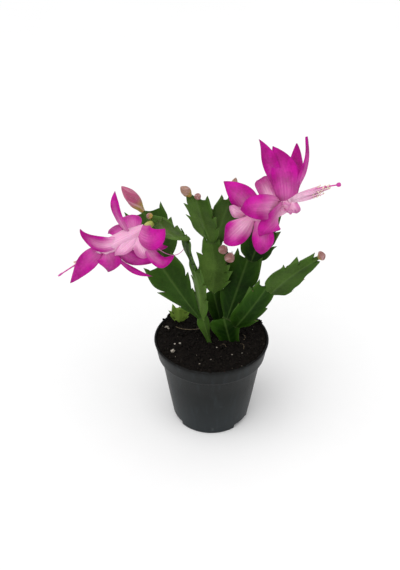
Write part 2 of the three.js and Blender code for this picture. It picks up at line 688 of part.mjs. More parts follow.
function bloomMeshes(side, bloom) {
  const { top, direction } = bossAt(bloom);
  const start = top.clone().addScaledVector(direction, GAP);
  const tube = new THREE.QuadraticBezierCurve3(
    start,
    start.clone().add(vec(bloom.tube.mid)),
    start.clone().add(vec(bloom.tube.mouth)),
  );
  const mouth = tube.getPoint(1);
  const out = tube.getTangent(1);

  const ovaryEnd = tube.getPoint(OVARY_LENGTH / tube.getLength());
  const ovary = spindle(start, ovaryEnd.clone().sub(start), OVARY_PROFILE, ROUND_SIDES);

  const [narrow, middle, wide] = bloom.tube.radii;
  const tubeRadius = (part) => {
    const half = part * 2;
    return half < 1 ? lerp(narrow, middle, half) : lerp(middle, wide, half - 1);
  };
  const tubeStart = (OVARY_LENGTH + 2 * GAP) / tube.getLength();
  const dimpleReach = out.clone().multiplyScalar(THROAT_DEPTH);
  const dimpleProfile = [[0, RING.radius + 2 * GAP], [1, RING.radius + 1 + 2 * GAP]];
  const dimple = spindle(mouth, dimpleReach, dimpleProfile, ROUND_SIDES);
  const corolla = joined([
    tubeAlong(tube, tubeStart, tubeRadius, 6, ROUND_SIDES),
    ...bloom.petals.map((row) => petal(row, tube)),
  ]);

  const styleEnd = mouth.clone().add(vec(bloom.style));
  const styleLine = new THREE.QuadraticBezierCurve3(
    mouth.clone().addScaledVector(out, GAP),
    mouth.clone().addScaledVector(out, THROAT_DEPTH),
    styleEnd,
  );
  const stigma = new THREE.IcosahedronGeometry(STIGMA_RADIUS, 0);
  stigma.translate(styleEnd.x, styleEnd.y, styleEnd.z);
  const style = tubeAlong(styleLine, 0, () => STYLE_RADIUS, 8, 6).add(solid(stigma));

  const foot = new THREE.LineCurve3(mouth, mouth.clone().addScaledVector(out, 1));
  const room = tubeAlong(styleLine, 0, () => STYLE_RADIUS + GAP, 8, 6)
    .add(tubeAlong(foot, 0, () => STYLE_RADIUS + GAP, 1, 6));
  const stamens = joined(stamenSolids(bloom, mouth, out)).subtract(room);

  const name = `bloom_${side}`;
  return [
    meshOf(name, 'petal', largest(corolla.subtract(dimple))),
    meshOf(`${name}_ovary`, 'ovary', ovary),
    meshOf(`${name}_stamens`, 'stamen', largest(stamens)),
    meshOf(`${name}_style`, 'style', style),
  ];
}

function budMesh(name, row) {
  const { top, direction, height } = bossAt(row);
  const start = top.clone().addScaledVector(direction, GAP);
  const reach = direction.clone().multiplyScalar(vec(row.reach).length() - height - GAP);
  const rings = BUD_PROFILE.map(([part, wide]) => [part, wide * row.radius]);
  return meshOf(name, 'bud', spindle(start, reach, rings, BUD_SIDES));
}

// Half section of the pot, from the middle of its underside round to the middle of its floor.
function potProfile() {
  const collarFoot = POT_HEIGHT - COLLAR_HEIGHT;
  return [
    [0, 0],
    [BODY_FOOT_RADIUS - EDGE, 0],
    [BODY_FOOT_RADIUS, EDGE],
    [BODY_TOP_RADIUS, collarFoot - EDGE],
    [COLLAR_FOOT_RADIUS - EDGE / 2, collarFoot],
    [COLLAR_FOOT_RADIUS, collarFoot + EDGE],
    [RIM_RADIUS - EDGE / 2, POT_HEIGHT - 2 * EDGE],
    [RIM_RADIUS, POT_HEIGHT - EDGE],
    [RIM_RADIUS - EDGE / 2, POT_HEIGHT],
    [RIM_RADIUS - LIP_WIDTH + EDGE / 2, POT_HEIGHT],
    [RIM_RADIUS - LIP_WIDTH, POT_HEIGHT - EDGE],
    [COLLAR_FOOT_RADIUS - WALL, collarFoot + EDGE],
    [BODY_TOP_RADIUS - WALL, collarFoot - EDGE],
    [BODY_FOOT_RADIUS - WALL, FLOOR + EDGE],
    [BODY_FOOT_RADIUS - WALL - EDGE, FLOOR],
    [0, FLOOR],
  ];
}

function potMesh() {
  const lathe = new THREE.LatheGeometry(potProfile().map(([r, z]) => new THREE.Vector2(r, z)), POT_SIDES);
  lathe.rotateX(Math.PI / 2);
  let body = solid(lathe);
  for (const bearing of NOTCH.bearings) {
    const depth = BODY_FOOT_RADIUS - NOTCH.inner + WALL;
    const cutter = new THREE.BoxGeometry(depth, NOTCH.width, 2 * NOTCH.height);
    cutter.translate(NOTCH.inner + depth / 2, 0, 0);
    cutter.rotateZ(radians(bearing));
    body = body.subtract(solid(cutter));
  }
  for (let k = 0; k < DRAIN.holes; k++) {
    const angle = radians(DRAIN.start + (360 * k) / DRAIN.holes);
    const centre = [DRAIN.circle * Math.cos(angle), DRAIN.circle * Math.sin(angle)];
    body = body.subtract(oval(centre, [DRAIN.radius, DRAIN.radius], 0, -FLOOR, 2 * FLOOR));
  }
  return meshOf('pot', 'pot', body);
}

// Height of the soil: a low mound with crumbs, level at the pot's wall.
function soilHeight(x, y) {
  const out = Math.hypot(x, y) / RIM_RADIUS;
  const crumbs = 0.3 * Math.sin(0.62 * x + 1.1) * Math.cos(0.55 * y - 0.4)
    + 0.24 * Math.sin(1.13 * x - 0.87 * y + 2.0)
    + 0.2 * Math.cos(0.71 * x + 1.6 * y);
  return SOIL_TOP + SOIL_MOUND * (1 - out * out) + crumbs * (1 - out ** 4);
}

// The fill follows the pot's inside, a gap away from it.
function soilMesh() {
  const collarFoot = POT_HEIGHT - COLLAR_HEIGHT;
  const wall = [
    [COLLAR_FOOT_RADIUS - WALL - GAP, collarFoot + EDGE + GAP],
    [BODY_TOP_RADIUS - WALL - GAP, collarFoot - EDGE + GAP],
    [BODY_FOOT_RADIUS - WALL - GAP, FLOOR + EDGE + GAP],
    [BODY_FOOT_RADIUS - WALL - EDGE - GAP, FLOOR + GAP],
  ];
  const ringAt = (radius, height) => Array.from({ length: POT_SIDES }, (_, k) => {
    const angle = (2 * Math.PI * k) / POT_SIDES;
    const [x, y] = [radius * Math.cos(angle), radius * Math.sin(angle)];
    return new THREE.Vector3(x, y, height ?? soilHeight(x, y));
  });
  const edge = RIM_RADIUS - LIP_WIDTH - GAP;
  const rings = [];
  for (let i = 1; i <= SOIL_RINGS; i++) rings.push(ringAt((edge * i) / SOIL_RINGS));
  for (const [radius, height] of wall) rings.push(ringAt(radius, height));
  let body = solid(loft(rings));
  for (const [row] of Object.values(PLANTS)) {
    const size = row.root.map((half, i) => half + HOLE_ROOM[i]);
    body = body.subtract(oval(row.foot, size, row.turn, SOIL_TOP - ROOT_DEPTH - GAP, POT_HEIGHT + 1));
  }
  return meshOf('soil', 'soil', body);
}

const cactus = new THREE.Group();
cactus.add(potMesh(), soilMesh());
for (const [name, rows] of Object.entries(PLANTS)) cactus.add(plant(name, rows));
for (const [side, bloom] of Object.entries(BLOOMS)) cactus.add(...bloomMeshes(side, bloom));
for (const [name, row] of Object.entries(BUDS)) cactus.add(budMesh(name, row));

export default cactus;
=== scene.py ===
"""Dresses the potted christmas cactus: pot, soil, toothed stems, blooms and buds round the CAD frame."""

import math
import random

import bpy
import bmesh
from bpy.props import FloatProperty, FloatVectorProperty, IntProperty, PointerProperty
from mathutils import Matrix, Quaternion, Vector, geometry, kdtree, noise


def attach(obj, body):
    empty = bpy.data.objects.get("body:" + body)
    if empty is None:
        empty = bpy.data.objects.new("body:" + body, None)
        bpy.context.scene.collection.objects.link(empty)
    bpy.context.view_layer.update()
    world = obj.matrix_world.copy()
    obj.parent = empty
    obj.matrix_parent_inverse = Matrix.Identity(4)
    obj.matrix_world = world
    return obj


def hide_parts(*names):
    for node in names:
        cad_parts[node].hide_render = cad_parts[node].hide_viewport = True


bl_info = {
    "name": "Potted Christmas Cactus",
    "version": (1, 0, 0),
    "blender": (4, 5, 0),
    "location": "View3D > Sidebar > Cactus",
    "description": "Builds a flowering christmas cactus in a nursery pot",
    "category": "Add Mesh",
}

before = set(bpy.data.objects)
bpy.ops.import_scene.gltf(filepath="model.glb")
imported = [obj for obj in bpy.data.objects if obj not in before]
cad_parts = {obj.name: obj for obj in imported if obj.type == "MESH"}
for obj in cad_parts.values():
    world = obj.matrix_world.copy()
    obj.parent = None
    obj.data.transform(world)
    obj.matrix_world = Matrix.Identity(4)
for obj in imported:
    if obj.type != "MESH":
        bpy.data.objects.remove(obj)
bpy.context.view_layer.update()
MM = 0.001
# Clearance between neighbouring pieces, in millimetres.
GAP = 0.3

# Pot and soil, in millimetres, as the solids have them.
POT_HEIGHT = 50
RIM_RADIUS = 30
LIP_WIDTH = 1.2
COLLAR_HEIGHT = 9.5
COLLAR_FOOT_RADIUS = 28.3
BODY_TOP_RADIUS = 26.5
BODY_FOOT_RADIUS = 20.5
WALL = 1
FLOOR = 1.2
EDGE = 0.6
NOTCH = {"bearings": (205, 325, 85), "width": 12, "height": 2.8, "inner": 17}
DRAIN = {"holes": 6, "radius": 2.5, "circle": 11, "start": 15}
SOIL_TOP = 49.1
SOIL_MOUND = 0.7
ROOT_DEPTH = 8
SURFACE = SOIL_TOP - 2

# How finely the pot, the soil and the roots are drawn, and the least angle that stays sharp.
POT_SIDES = 192
SOIL_RINGS = 96
SOIL_SIDES = 240
ROOT_SIDES = 28
SHARP_ANGLE = 40

# Marks on the pot: heights up to which it is paler and scuffed, and where the dust by its rim starts
# and is full.
PALE_TOP = 34
SCUFF_TOP = 10
DUST_FOOT = 47.8
DUST_TOP = 49.4

# The soil's uneven surface, as layers of noise: their height, how fine they are, and their slice.
SOIL_GRAIN = ((0.55, 0.8, 3.1), (0.35, 2.1, 7.7), (0.22, 4.6, 1.3))

# Loose things. Crumbs stay CRUMB_ROOM inside the lip, and sizes are (smallest, largest). Crumbs lie
# in two small heaps at the back of the rim, and the larger heap's bearing is named twice. A pale
# grain is (right, away, half width). A dry root has a start, a middle and an end, the height of
# its arch and its radius.
CRUMB_ROOM = 0.6
CRUMB_SIZES = (0.28, 1.03)
SPECK_SIZES = (0.14, 0.3)
RIM_CRUMB_SIZES = (0.25, 0.75)
FOOT_CRUMB_SIZES = (0.25, 0.9)
RIM_HEAPS = (142, 29, 29)
HEAP_SPREAD = 3.5
PERLITE = (
    (-23.8, 7.8, 1.05), (-22.9, 6.6, 0.6), (-19, -6, 0.5), (-16.3, -6.2, 0.62),
    (-19.7, -12.6, 1.1), (-0.1, -18.7, 0.42), (-5.9, -22.2, 0.36), (10.6, -14.8, 0.4),
    (2.8, -9.6, 0.4), (15.8, -13.2, 0.35),
)
DRY_ROOTS = (
    ((-19.1, 9), (-14, 2.5), (-5.9, 6.1), 1.2, 0.2),
    ((4.5, -7.6), (6.5, -6.2), (7.6, -8.4), 0.7, 0.13),
    ((16.2, 2.6), (18.6, 0.2), (16.9, -2.2), 1.0, 0.16),
    ((14.8, -5.6), (17.4, -6.6), (16.6, -9.4), 0.8, 0.13),
    ((-2.6, 11), (0.4, 8.4), (3.2, 11.6), 1.6, 0.16),
)

# Segments: thickness at the midrib and the edge, the ridge along the midrib, how much a blade
# waves, and how deep a segment is sunk in the one it grows from. A side tooth or an end horn
# reaches forward and out, over a notch. NECK is the narrowest part of a segment.
MIDRIB = 2.3
SEGMENT_EDGE = 0.75
RIDGE = {"height": 0.7, "width": 0.9}
BLADE_WAVE = 0.3
SUNK = 1.5
NECK = 0.16
TOOTH = {"reach": 1.8, "out": 1.5, "notch": 1.3}
HORN = {"reach": 2.5, "out": 0.7, "notch": 1.2}
# Bristles: how many stand at a segment's end and in a notch, and their radius at root and tip.
BRISTLES_AT_END = 6
BRISTLES_IN_NOTCH = 4
BRISTLE_RADIUS = (0.075, 0.015)
# Where a segment without teeth swells, as (part of its length, part of its swell).
BARE_SWELL = ((0, 0), (0.25, 0.1), (0.5, 0.5), (0.7, 0.88), (0.83, 1), (0.94, 0.8), (1, 0.35))

# How finely a segment is drawn, in millimetres: steps along its edge and inside it, the width of
# its rounded edge, how far in the rings of points by the edge lie, and how far in the others start.
# A line across from edge to edge counts as THIN deep or more in its middle. Then come the parts of
# the foot's line, the parts of an edge line that distances are measured to, and how many times
# the lines across are looked for.
EDGE_STEP = 0.32
FILL_STEP = 0.58
EDGE_ROUNDING = 0.42
RING_INSETS = (0.05, 0.15, 0.32)
RING_CLEAR = 0.5
THIN = 0.06
FOOT_PARTS = 12
SEARCH_PARTS = 6
CROSS_ROUNDS = 6

# What a segment has where its own row doesn't say.
SEGMENT_SHAPE = {
    "aside": 0, "back": 0, "sag": 0, "sway": 0, "fold": 0.08, "belly": 0.66, "base": 1.8,
    "end": 0.72, "neck": NECK, "left": (0.4, 0.7), "right": (0.42, 0.72),
    "left_size": (1, 1), "right_size": (1, 1), "horns": (1, 1), "tint": 0.4,
}

# The plants as the solids have them. A segment grows from the end of the one it is on, or from the
# soil at foot. lean is its angle from upright and heading its bearing in plan, 0 to the right and
# 90 away from the front. turn rolls the blade about its own line. sag bows it out of its flat side,
# and sway bows it edgewise. fold lifts both wings off the midrib. The outline is widest at belly,
# round below it where base is large, and narrows to end. left and right say where the side teeth
# are, and left_size, right_size and horns how large. Only this script has tint, which runs from
# the darkest segment, 0, to the palest, 1.
# tint is partly each segment's own green and partly painted light and shade: segments that face the
# light are painted paler, with a painted sheen, and those in shade darker.
PLANTS = {
    "stem_left": [
        {"name": "L1", "foot": (-0.4, -4.8), "root": (2, 1.2), "length": 20.5, "width": 6.5,
         "lean": 14, "heading": 188, "turn": 30, "neck": 0.34, "bare": True, "tint": 0.4},
        {"name": "A0", "on": "L1", "length": 30.5, "width": 10.5, "lean": 8, "heading": 235,
         "turn": -52, "sag": -1.5, "belly": 0.4, "base": 3, "neck": 0.5, "tint": 0.84},
        {"name": "A1", "on": "A0", "length": 22.5, "width": 12, "lean": 21, "heading": 241,
         "turn": -66, "sag": 1, "belly": 0.6, "tint": 0.25},
        {"name": "A2", "on": "A1", "length": 21, "width": 13, "lean": 45, "heading": 218,
         "turn": -14, "sag": 2, "belly": 0.45, "end": 0.5, "left_size": (0.7, 0.5),
         "horns": (0.3, 0.8), "tint": 1},
        {"name": "S1", "on": "L1", "aside": -1, "length": 34.5, "width": 19, "lean": 37,
         "heading": 161, "turn": -8, "sag": 1, "belly": 0.78, "base": 1.3, "end": 0.8,
         "left": (0.3, 0.6), "left_size": (0.3, 1.4), "right": (0.45, 0.66),
         "right_size": (0.5, 0.9), "tint": 0.14},
        {"name": "S2", "on": "S1", "aside": 3, "length": 27, "width": 21, "lean": 22,
         "heading": 157, "turn": -8, "sag": -1, "belly": 0.5, "base": 2.4, "end": 0.85,
         "right_size": (0.6, 0.8), "tint": 0.24},
    ],
    "stem_middle": [
        {"name": "M0", "foot": (5.8, 9), "root": (2.4, 1.3), "length": 30.2, "width": 11,
         "lean": 14.3, "heading": 222, "turn": 20, "neck": 0.5, "bare": True, "tint": 0.05},
        {"name": "M1", "on": "M0", "length": 30.5, "width": 16, "lean": 5, "heading": 260,
         "turn": -18, "sag": -1, "sway": 1, "fold": 0.25, "belly": 0.42, "base": 2.8,
         "end": 0.4, "left": (0.3, 0.45, 0.7), "left_size": (0.1, 0.1, 1.2),
         "right": (0.27, 0.46, 0.6), "right_size": (1.2, 1.6, 1), "tint": 1},
        {"name": "M2", "on": "M1", "length": 28.5, "width": 14, "lean": 20, "heading": 226,
         "turn": -25, "sag": 1, "belly": 0.5, "base": 2.2, "end": 0.75, "left": (0.56, 0.8),
         "left_size": (1.3, 1.2), "right": (0.4, 0.64), "horns": (0.4, 1), "tint": 0.84},
        {"name": "M3", "on": "M1", "aside": 1.5, "length": 26, "width": 16, "lean": 16.5,
         "heading": 331, "turn": 14, "sag": -1, "belly": 0.48, "base": 3.2, "end": 0.5,
         "neck": 0.5, "left": (0.45, 0.73),
         "left_size": (0.5, 0.9), "horns": (1, 0.2), "tint": 0.48},
        {"name": "M4", "on": "M0", "length": 21.5, "width": 9.5, "lean": 36, "heading": 40,
         "turn": 0, "sag": -1.6, "horns": (0.8, 0.2), "tint": 0.1},
    ],
    "stem_right": [
        {"name": "C1", "foot": (10.2, -3.4), "root": (4.4, 1.4), "length": 17, "width": 16,
         "lean": 14, "heading": 165, "turn": 0, "neck": 0.6, "bare": True, "tint": 0},
        {"name": "R1", "on": "C1", "aside": 2, "length": 34, "width": 17, "lean": 22,
         "heading": 38, "turn": -15, "sag": -0.5, "belly": 0.6, "base": 2.6, "end": 0.7,
         "neck": 0.3, "right": (0.3, 0.6), "right_size": (0.3, 1.2), "tint": 0.03},
        {"name": "R2", "on": "C1", "aside": 5.2, "back": 5.5, "length": 30.5, "width": 14,
         "lean": 29, "heading": 345, "turn": 0, "sag": 1, "belly": 0.42, "base": 3.5,
         "end": 0.7, "neck": 0.4, "left": (0.5, 0.82), "left_size": (0.4, 1.1),
         "right": (0.3, 0.62), "right_size": (0.7, 0.4), "horns": (1, 0.4), "tint": 0.05},
        {"name": "R3", "on": "R2", "aside": 4, "back": 1.6, "length": 29, "width": 15,
         "lean": 42, "heading": 346, "turn": 0, "sag": 1, "sway": -2, "belly": 0.32, "base": 3.6,
         "end": 0.28, "neck": 0.3, "left": (0.58, 0.78), "left_size": (1, 1.7),
         "right": (0.3, 0.6), "right_size": (0.15, 0.15), "horns": (1.2, 0.4), "tint": 0.46},
        {"name": "G1", "on": "R1", "aside": 1.8, "back": 0.8, "length": 23, "width": 16,
         "lean": 28, "heading": 48, "turn": 0, "sag": 1, "belly": 0.4, "base": 3.4,
         "neck": 0.3, "tint": 0.02},
    ],
    "stem_young": [
        {"name": "Y1", "foot": (-17.6, 14), "root": (2.2, 1.2), "length": 12, "width": 9,
         "lean": 5, "heading": 300, "turn": 0, "neck": 0.5, "tint": 0.5},
    ],
}

# Petals: half width along the length, in six kinds, and how much the sides curl back.
PETAL_CURL = 0.18
PETAL_OUTLINES = {
    "pointed": (
        (0, 0.3), (0.15, 0.55), (0.32, 0.85), (0.5, 1), (0.68, 0.88), (0.84, 0.52), (0.95, 0.2),
        (1, 0.02),
    ),
    "round": (
        (0, 0.35), (0.15, 0.65), (0.32, 0.92), (0.52, 1), (0.72, 0.92), (0.87, 0.66),
        (0.96, 0.36), (1, 0.05),
    ),
    "broad": (
        (0, 0.6), (0.12, 0.85), (0.35, 1), (0.6, 0.97), (0.8, 0.8), (0.92, 0.5), (1, 0.06),
    ),
    "wing": (
        (0, 0.6), (0.2, 0.88), (0.4, 1), (0.6, 0.9), (0.8, 0.58), (0.93, 0.26), (1, 0.04),
    ),
    "square": ((0, 0.6), (0.25, 0.85), (0.55, 1), (0.82, 1), (0.94, 0.85), (1, 0.5)),
    "strap": ((0, 0.35), (0.2, 0.5), (0.4, 0.8), (0.6, 1), (0.8, 0.8), (0.93, 0.4), (1, 0.08)),
}

# The blooms as the solids have them, but with all their stamens. A tube bends at mid and opens at
# mouth, both measured from its boss. A petal is rooted at a part of the tube's length, reaches to
# its tip, bows off that line by belly, and its broad side looks along face. Every triple is (right,
# away, up). Only this script has frills, strays and lobes, and the ruffle, hook, skew and split of
# a petal, and its pale, which says how far its light middle spreads.
# A petal's light middle is partly its own paler colour and partly a painted highlight.
BLOOMS = {
    "right": {
        "on": "M3", "aside": 1, "back": 0.5, "boss": 2.4,
        "tube": {"mid": (8, -9.5, -8.5), "mouth": (24, -10.5, 7), "radii": (1.7, 2.8, 3.4)},
        "stamens": {"reach": (17.5, 0.5, 8.2), "spread": 2.8, "count": 67},
        "style": (21, 0, 8.5),
        "frills": 9,
        "petals": [
            {"at": 0.42, "reach": (-13.2, 7, 14.2), "belly": (1.2, -2.5, 1.6), "width": 12,
             "face": (0, -0.9, 0.4), "kind": "wing", "pale": 0.3, "skew": 0.15},
            {"at": 0.4, "reach": (-12.3, -5, -10.3), "belly": (-0.5, -6.5, 2.6), "width": 11.5,
             "face": (-0.3, -0.9, 0.5), "kind": "round", "pale": 0.95},
            {"at": 0.32, "reach": (-8, -1, 5.5), "belly": (-1, -3, 0.5), "width": 6,
             "face": (-0.2, -1, 0), "kind": "broad", "pale": 1.5},
            {"at": 0.5, "reach": (2.5, -6, -16), "belly": (1.5, -7, 3), "width": 10,
             "face": (0, -1, 0.1), "kind": "round", "pale": 0.3, "ruffle": 1.5},
            {"at": 0.86, "reach": (-8.2, -7.5, -9.8), "belly": (2, -5.5, 3.2), "width": 12.5,
             "face": (0.4, -0.9, -0.2), "kind": "broad", "pale": 0.45, "ruffle": 1.6},
            {"at": 0.9, "reach": (-18.5, -7, 2.5), "belly": (-0.5, -8, 4.6), "width": 11,
             "face": (0, -1, 0.5), "kind": "broad", "pale": 0.45},
            {"at": 0.8, "reach": (-6, 15.5, 8.8), "belly": (0, 3.5, 0), "width": 8,
             "face": (-0.2, -0.8, 0.6), "kind": "square", "pale": 1.25},
            {"at": 0.92, "reach": (-11.5, 9, 28), "belly": (-0.2, -4, 4.2), "width": 7.5,
             "face": (-0.4, -1, 0.1), "kind": "pointed", "pale": 0.1},
            {"at": 0.95, "reach": (-6.3, 7, 24.8), "belly": (1, -4.5, 3), "width": 12.5,
             "face": (0.1, -1, 0.2), "kind": "wing", "pale": 0.15, "skew": 0.2},
            {"at": 0.97, "reach": (4, 13, 23.2), "belly": (1.5, 0.5, 1), "width": 8,
             "face": (0.2, -1, 0.4), "kind": "wing", "pale": 0.15},
            {"at": 1, "reach": (6.3, 7, 28), "belly": (3.4, -0.5, 1.5), "width": 7,
             "face": (1, -0.6, 0), "kind": "pointed", "pale": 0.2},
            {"at": 0.97, "reach": (4.8, -2, -4), "belly": (0, -2, 1.5), "width": 6,
             "face": (0, -1, 0.3), "kind": "broad", "pale": 1.35, "split": 0.3, "ruffle": 2.2},
            {"at": 0.45, "reach": (-5.5, 13.5, 3), "belly": (0, 2, 4), "width": 10,
             "face": (0, 0.2, 1), "kind": "pointed", "pale": 0.3},
            {"at": 0.7, "reach": (4, 13.5, -4), "belly": (1, 2, 3.5), "width": 11,
             "face": (0, 0.4, 1), "kind": "round", "pale": 0.4},
            {"at": 0.9, "reach": (4, 20, 10), "belly": (1, 3, 3), "width": 11,
             "face": (0, -0.4, 1), "kind": "pointed", "pale": 0.3},
        ],
    },
    "left": {
        "on": "A2", "aside": -1, "back": 0.5, "boss": 2.2,
        "tube": {"mid": (-8.5, -3, -4), "mouth": (-23.5, -2, -13), "radii": (1.7, 3.6, 3.4)},
        "stamens": {"reach": (-14, 5, -11), "spread": 2.6, "count": 47},
        "style": (-20.5, 5, -16.2),
        "lobes": (0.2, 0.3, 1.7),
        "strays": [
            {"at": 0.3, "bend": (13, -5, -16), "reach": (19, -4, -7.5)},
        ],
        "petals": [
            {"at": 0.5, "reach": (-6, 3.5, 19.6), "belly": (-2.2, -4, 2.3), "width": 5,
             "face": (-0.5, -1, 0.2), "kind": "pointed", "pale": 0.35},
            {"at": 0.5, "reach": (-20, 1.2, 2.8), "belly": (-2.8, -4.5, -4.2), "width": 7.4,
             "face": (0, -1, 0.2), "kind": "pointed", "pale": 0.95, "hook": (-2.2, 0.5, -1)},
            {"at": 1, "reach": (-16.2, 3, -19.8), "belly": (0.5, -3.5, 3.8), "width": 8.5,
             "face": (-0.3, -1, 0.4), "kind": "wing", "pale": 0.1, "split": 0.09},
            {"at": 0.95, "reach": (0.4, 1.5, -13), "belly": (2, -4.5, 2), "width": 11,
             "face": (0, -1, 0), "kind": "pointed", "pale": 0.2},
            {"at": 0.8, "reach": (16.2, 7.5, -14.3), "belly": (0, -3, -1), "width": 8,
             "face": (0, -1, -0.1), "kind": "round", "pale": 0.2},
            {"at": 0.35, "reach": (12.3, -6, 4.7), "belly": (0.5, -5, -1.4), "width": 11,
             "face": (-0.2, -1, 0.3), "kind": "wing", "pale": 0.15},
            {"at": 0.3, "reach": (14, -3, -13.2), "belly": (0.2, -5, -4.6), "width": 5.4,
             "face": (0.3, -1, 0.3), "kind": "round", "pale": 0.4, "hook": (0.8, -0.5, 2)},
            {"at": 0.3, "reach": (3.6, -4, -11.5), "belly": (-0.6, -3, -1), "width": 8,
             "face": (0.1, -1, 0.2), "kind": "broad", "pale": 1.3},
            {"at": 0.3, "reach": (-11.3, -4, -11), "belly": (-0.5, -2.5, 0.5), "width": 7.5,
             "face": (-0.2, -1, 0.2), "kind": "wing", "pale": 1.45},
            {"at": 0.45, "reach": (14.8, 1.5, -7), "belly": (1.5, -2.5, -1.5), "width": 4.5,
             "face": (0, -1, 0.2), "kind": "pointed", "pale": 0.3},
            {"at": 0.45, "reach": (-2.5, 15.5, 0.8), "belly": (-0.5, 1.5, 2), "width": 10,
             "face": (0, -0.3, 1), "kind": "round", "pale": 0.3},
            {"at": 0.6, "reach": (-8.5, 13.5, -3.4), "belly": (-0.5, 1, 2), "width": 8,
             "face": (0, -0.4, 1), "kind": "round", "pale": 0.2},
            {"at": 0.9, "reach": (19.2, 1.5, -16.2), "belly": (-0.5, -1.5, -2.4), "width": 2.6,
             "face": (0, -1, 0.2), "kind": "strap", "pale": 0.1},
            {"at": 0.7, "reach": (-5.5, 16, -13), "belly": (0, 4, -1), "width": 9,
             "face": (0, 0.4, 1), "kind": "pointed", "pale": 0.2},
            {"at": 0.95, "reach": (-8, 16, -8), "belly": (0.5, 2, 1), "width": 9,
             "face": (0, 0.3, 1), "kind": "pointed", "pale": 0.2},
        ],
    },
}

# How finely a petal is drawn, its thickness at its root and tip, the groove along its middle and
# the depth of its small pleats.
PETAL_STEPS = 34
PETAL_COLUMNS = 17
PETAL_ROOT = 0.75
PETAL_TIP = 0.3
GROOVE = {"depth": 0.3, "width": 0.6}
PLEATS = 0.06
# How finely a tube is drawn, the sizes of the small petals round its mouth, and the radius of a
# stray thread at its root and tip.
TUBE_STEPS = 44
TUBE_SIDES = 36
FRILL_SIZES = (1.2, 0.7, 1.6)
STRAY_RADIUS = (0.24, 0.14)

# The heart of a bloom. The ovary's profile is (part of its length, radius). The stamens stand in a
# ring round the style, in the throat. A thread and the style have a radius at their root and tip.
# An anther is two lobes, given by their half widths and how far off the middle each one lies.
OVARY_LENGTH = 5
OVARY_PROFILE = ((0, 0.9), (0.12, 1.25), (0.3, 1.5), (0.6, 1.6), (0.85, 1.45), (1, 1.3))
RING = {"radius": 1.7, "length": 2.5}
THROAT_DEPTH = 9
THREAD_RADIUS = (0.32, 0.2)
STYLE_RADIUS = (0.42, 0.3)
ANTHER = (0.2, 0.24, 0.62)
ANTHER_APART = 0.17
# The stigma's lobes: how far they stand from its middle, their thickness and their length.
LOBES = (0.55, 0.5, 0.95)
LOBE_COUNT = 6

# Buds as the solids have them. aside and back shift the boss off the middle of the segment's end,
# across the blade and back down it. reach is from the boss to the bud's tip. Only this script has
# ripe, which runs from the green of a young bud, 0, to full pink, 1.
BUDS = {
    "bud_left_large": {"on": "S2", "aside": -0.6, "back": 0.8, "reach": (-9.6, -4, 15.9),
                       "radius": 3.2, "ripe": 0.85},
    "bud_left_small": {"on": "A2", "boss": 3, "reach": (-5.9, 3, 0),
                       "radius": 1.5, "ripe": 0.6},
    "bud_middle_large": {"on": "M2", "aside": -2.2, "back": 0.8, "boss": 2,
                         "reach": (-6, -1.6, 6.8), "radius": 2.3, "ripe": 0.3},
    "bud_middle_small": {"on": "M2", "aside": 0.2, "reach": (-0.2, -3.2, 2.4), "radius": 1.6,
                         "ripe": 0.6},
    "bud_front_upper": {"on": "M1", "aside": 3.4, "back": 4.4, "boss": 3,
                        "reach": (2, -6.2, 3.4), "radius": 2.3, "ripe": 0.55},
    "bud_front_lower": {"on": "M1", "aside": 5.6, "back": 7.5, "boss": 3,
                        "reach": (3.3, -7.6, 2.6), "radius": 2.6, "ripe": 0.5},
    "bud_back": {"on": "M3", "aside": 0.3, "reach": (2.6, 5, 8.5), "radius": 2, "ripe": 0.3},
    "bud_right": {"on": "R3", "boss": 1.6, "reach": (4.6, -0.8, 3.2), "radius": 2.4,
                  "ripe": 0.5},
}
BUD_PROFILE = (
    (0, 0.42), (0.12, 0.6), (0.32, 0.93), (0.5, 1), (0.7, 0.86), (0.87, 0.5), (0.96, 0.22),
    (1, 0.03),
)
BUD_STEPS = 40
BUD_SIDES = 40
BUD_BEND = 0.1

# The small boss that carries a bud or a bloom.
BOSS_RADIUS = 1.1
BOSS_HEIGHT = 1.2

# The stage, in metres: half the floor's width, where the soft light comes from, and the place, aim
# and width of the second light.
FLOOR_HALF = 3.0
KEY_FROM = Vector((-0.35, -0.45, 1.0))
FILL_PLACE = Vector((0.45, -0.25, 0.5))
FILL_AIM = Vector((0, 0, 0.08))
FILL_WIDTH = 0.5

UP = Vector((0, 0, 1))
ARC_STEPS = 48


# Helpers


def lerp(a, b, t):
    """The value at a part of the way from a to b."""
    return a + (b - a) * t


def smooth(a, b, x):
    """0 below a, 1 above b, and an S between."""
    t = min(max((x - a) / (b - a), 0), 1)
    return t * t * (3 - 2 * t)


def spread_on(table, t):
    """The value at t of a table of (place, value), on a smooth line through its points."""
    last = len(table) - 1
    k = next((i for i in range(last) if t <= table[i + 1][0]), last - 1)
    x0, y0 = table[k]
    x1, y1 = table[k + 1]
    before = table[k - 1] if k else (2 * x0 - x1, 2 * y0 - y1)
    after = table[k + 2] if k + 2 <= last else (2 * x1 - x0, 2 * y1 - y0)
    slope0 = (y1 - before[1]) / (x1 - before[0]) * (x1 - x0)
    slope1 = (after[1] - y0) / (after[0] - x0) * (x1 - x0)
    s = min(max((t - x0) / (x1 - x0), 0), 1)
    return (
        (2 * s**3 - 3 * s**2 + 1) * y0 + (s**3 - 2 * s**2 + s) * slope0
        + (3 * s**2 - 2 * s**3) * y1 + (s**3 - s**2) * slope1
    )


def crossing(along):
    """Two directions across a line, the first as near upright as it can be."""
    a = (UP - along * along.dot(UP)).normalized()
    return a, along.cross(a)


def around(count):
    """Angles spread evenly over a full turn."""
    return [2 * math.pi * k / count for k in range(count)]


def turned(a, b, angle):
    """A direction in the plane of two others, at an angle from the first."""
    return a * math.cos(angle) + b * math.sin(angle)


def level_ring(radius, height, sides):
    """A level ring of points about the upright axis."""
    return [Vector((radius * math.cos(w), radius * math.sin(w), height)) for w in around(sides)]


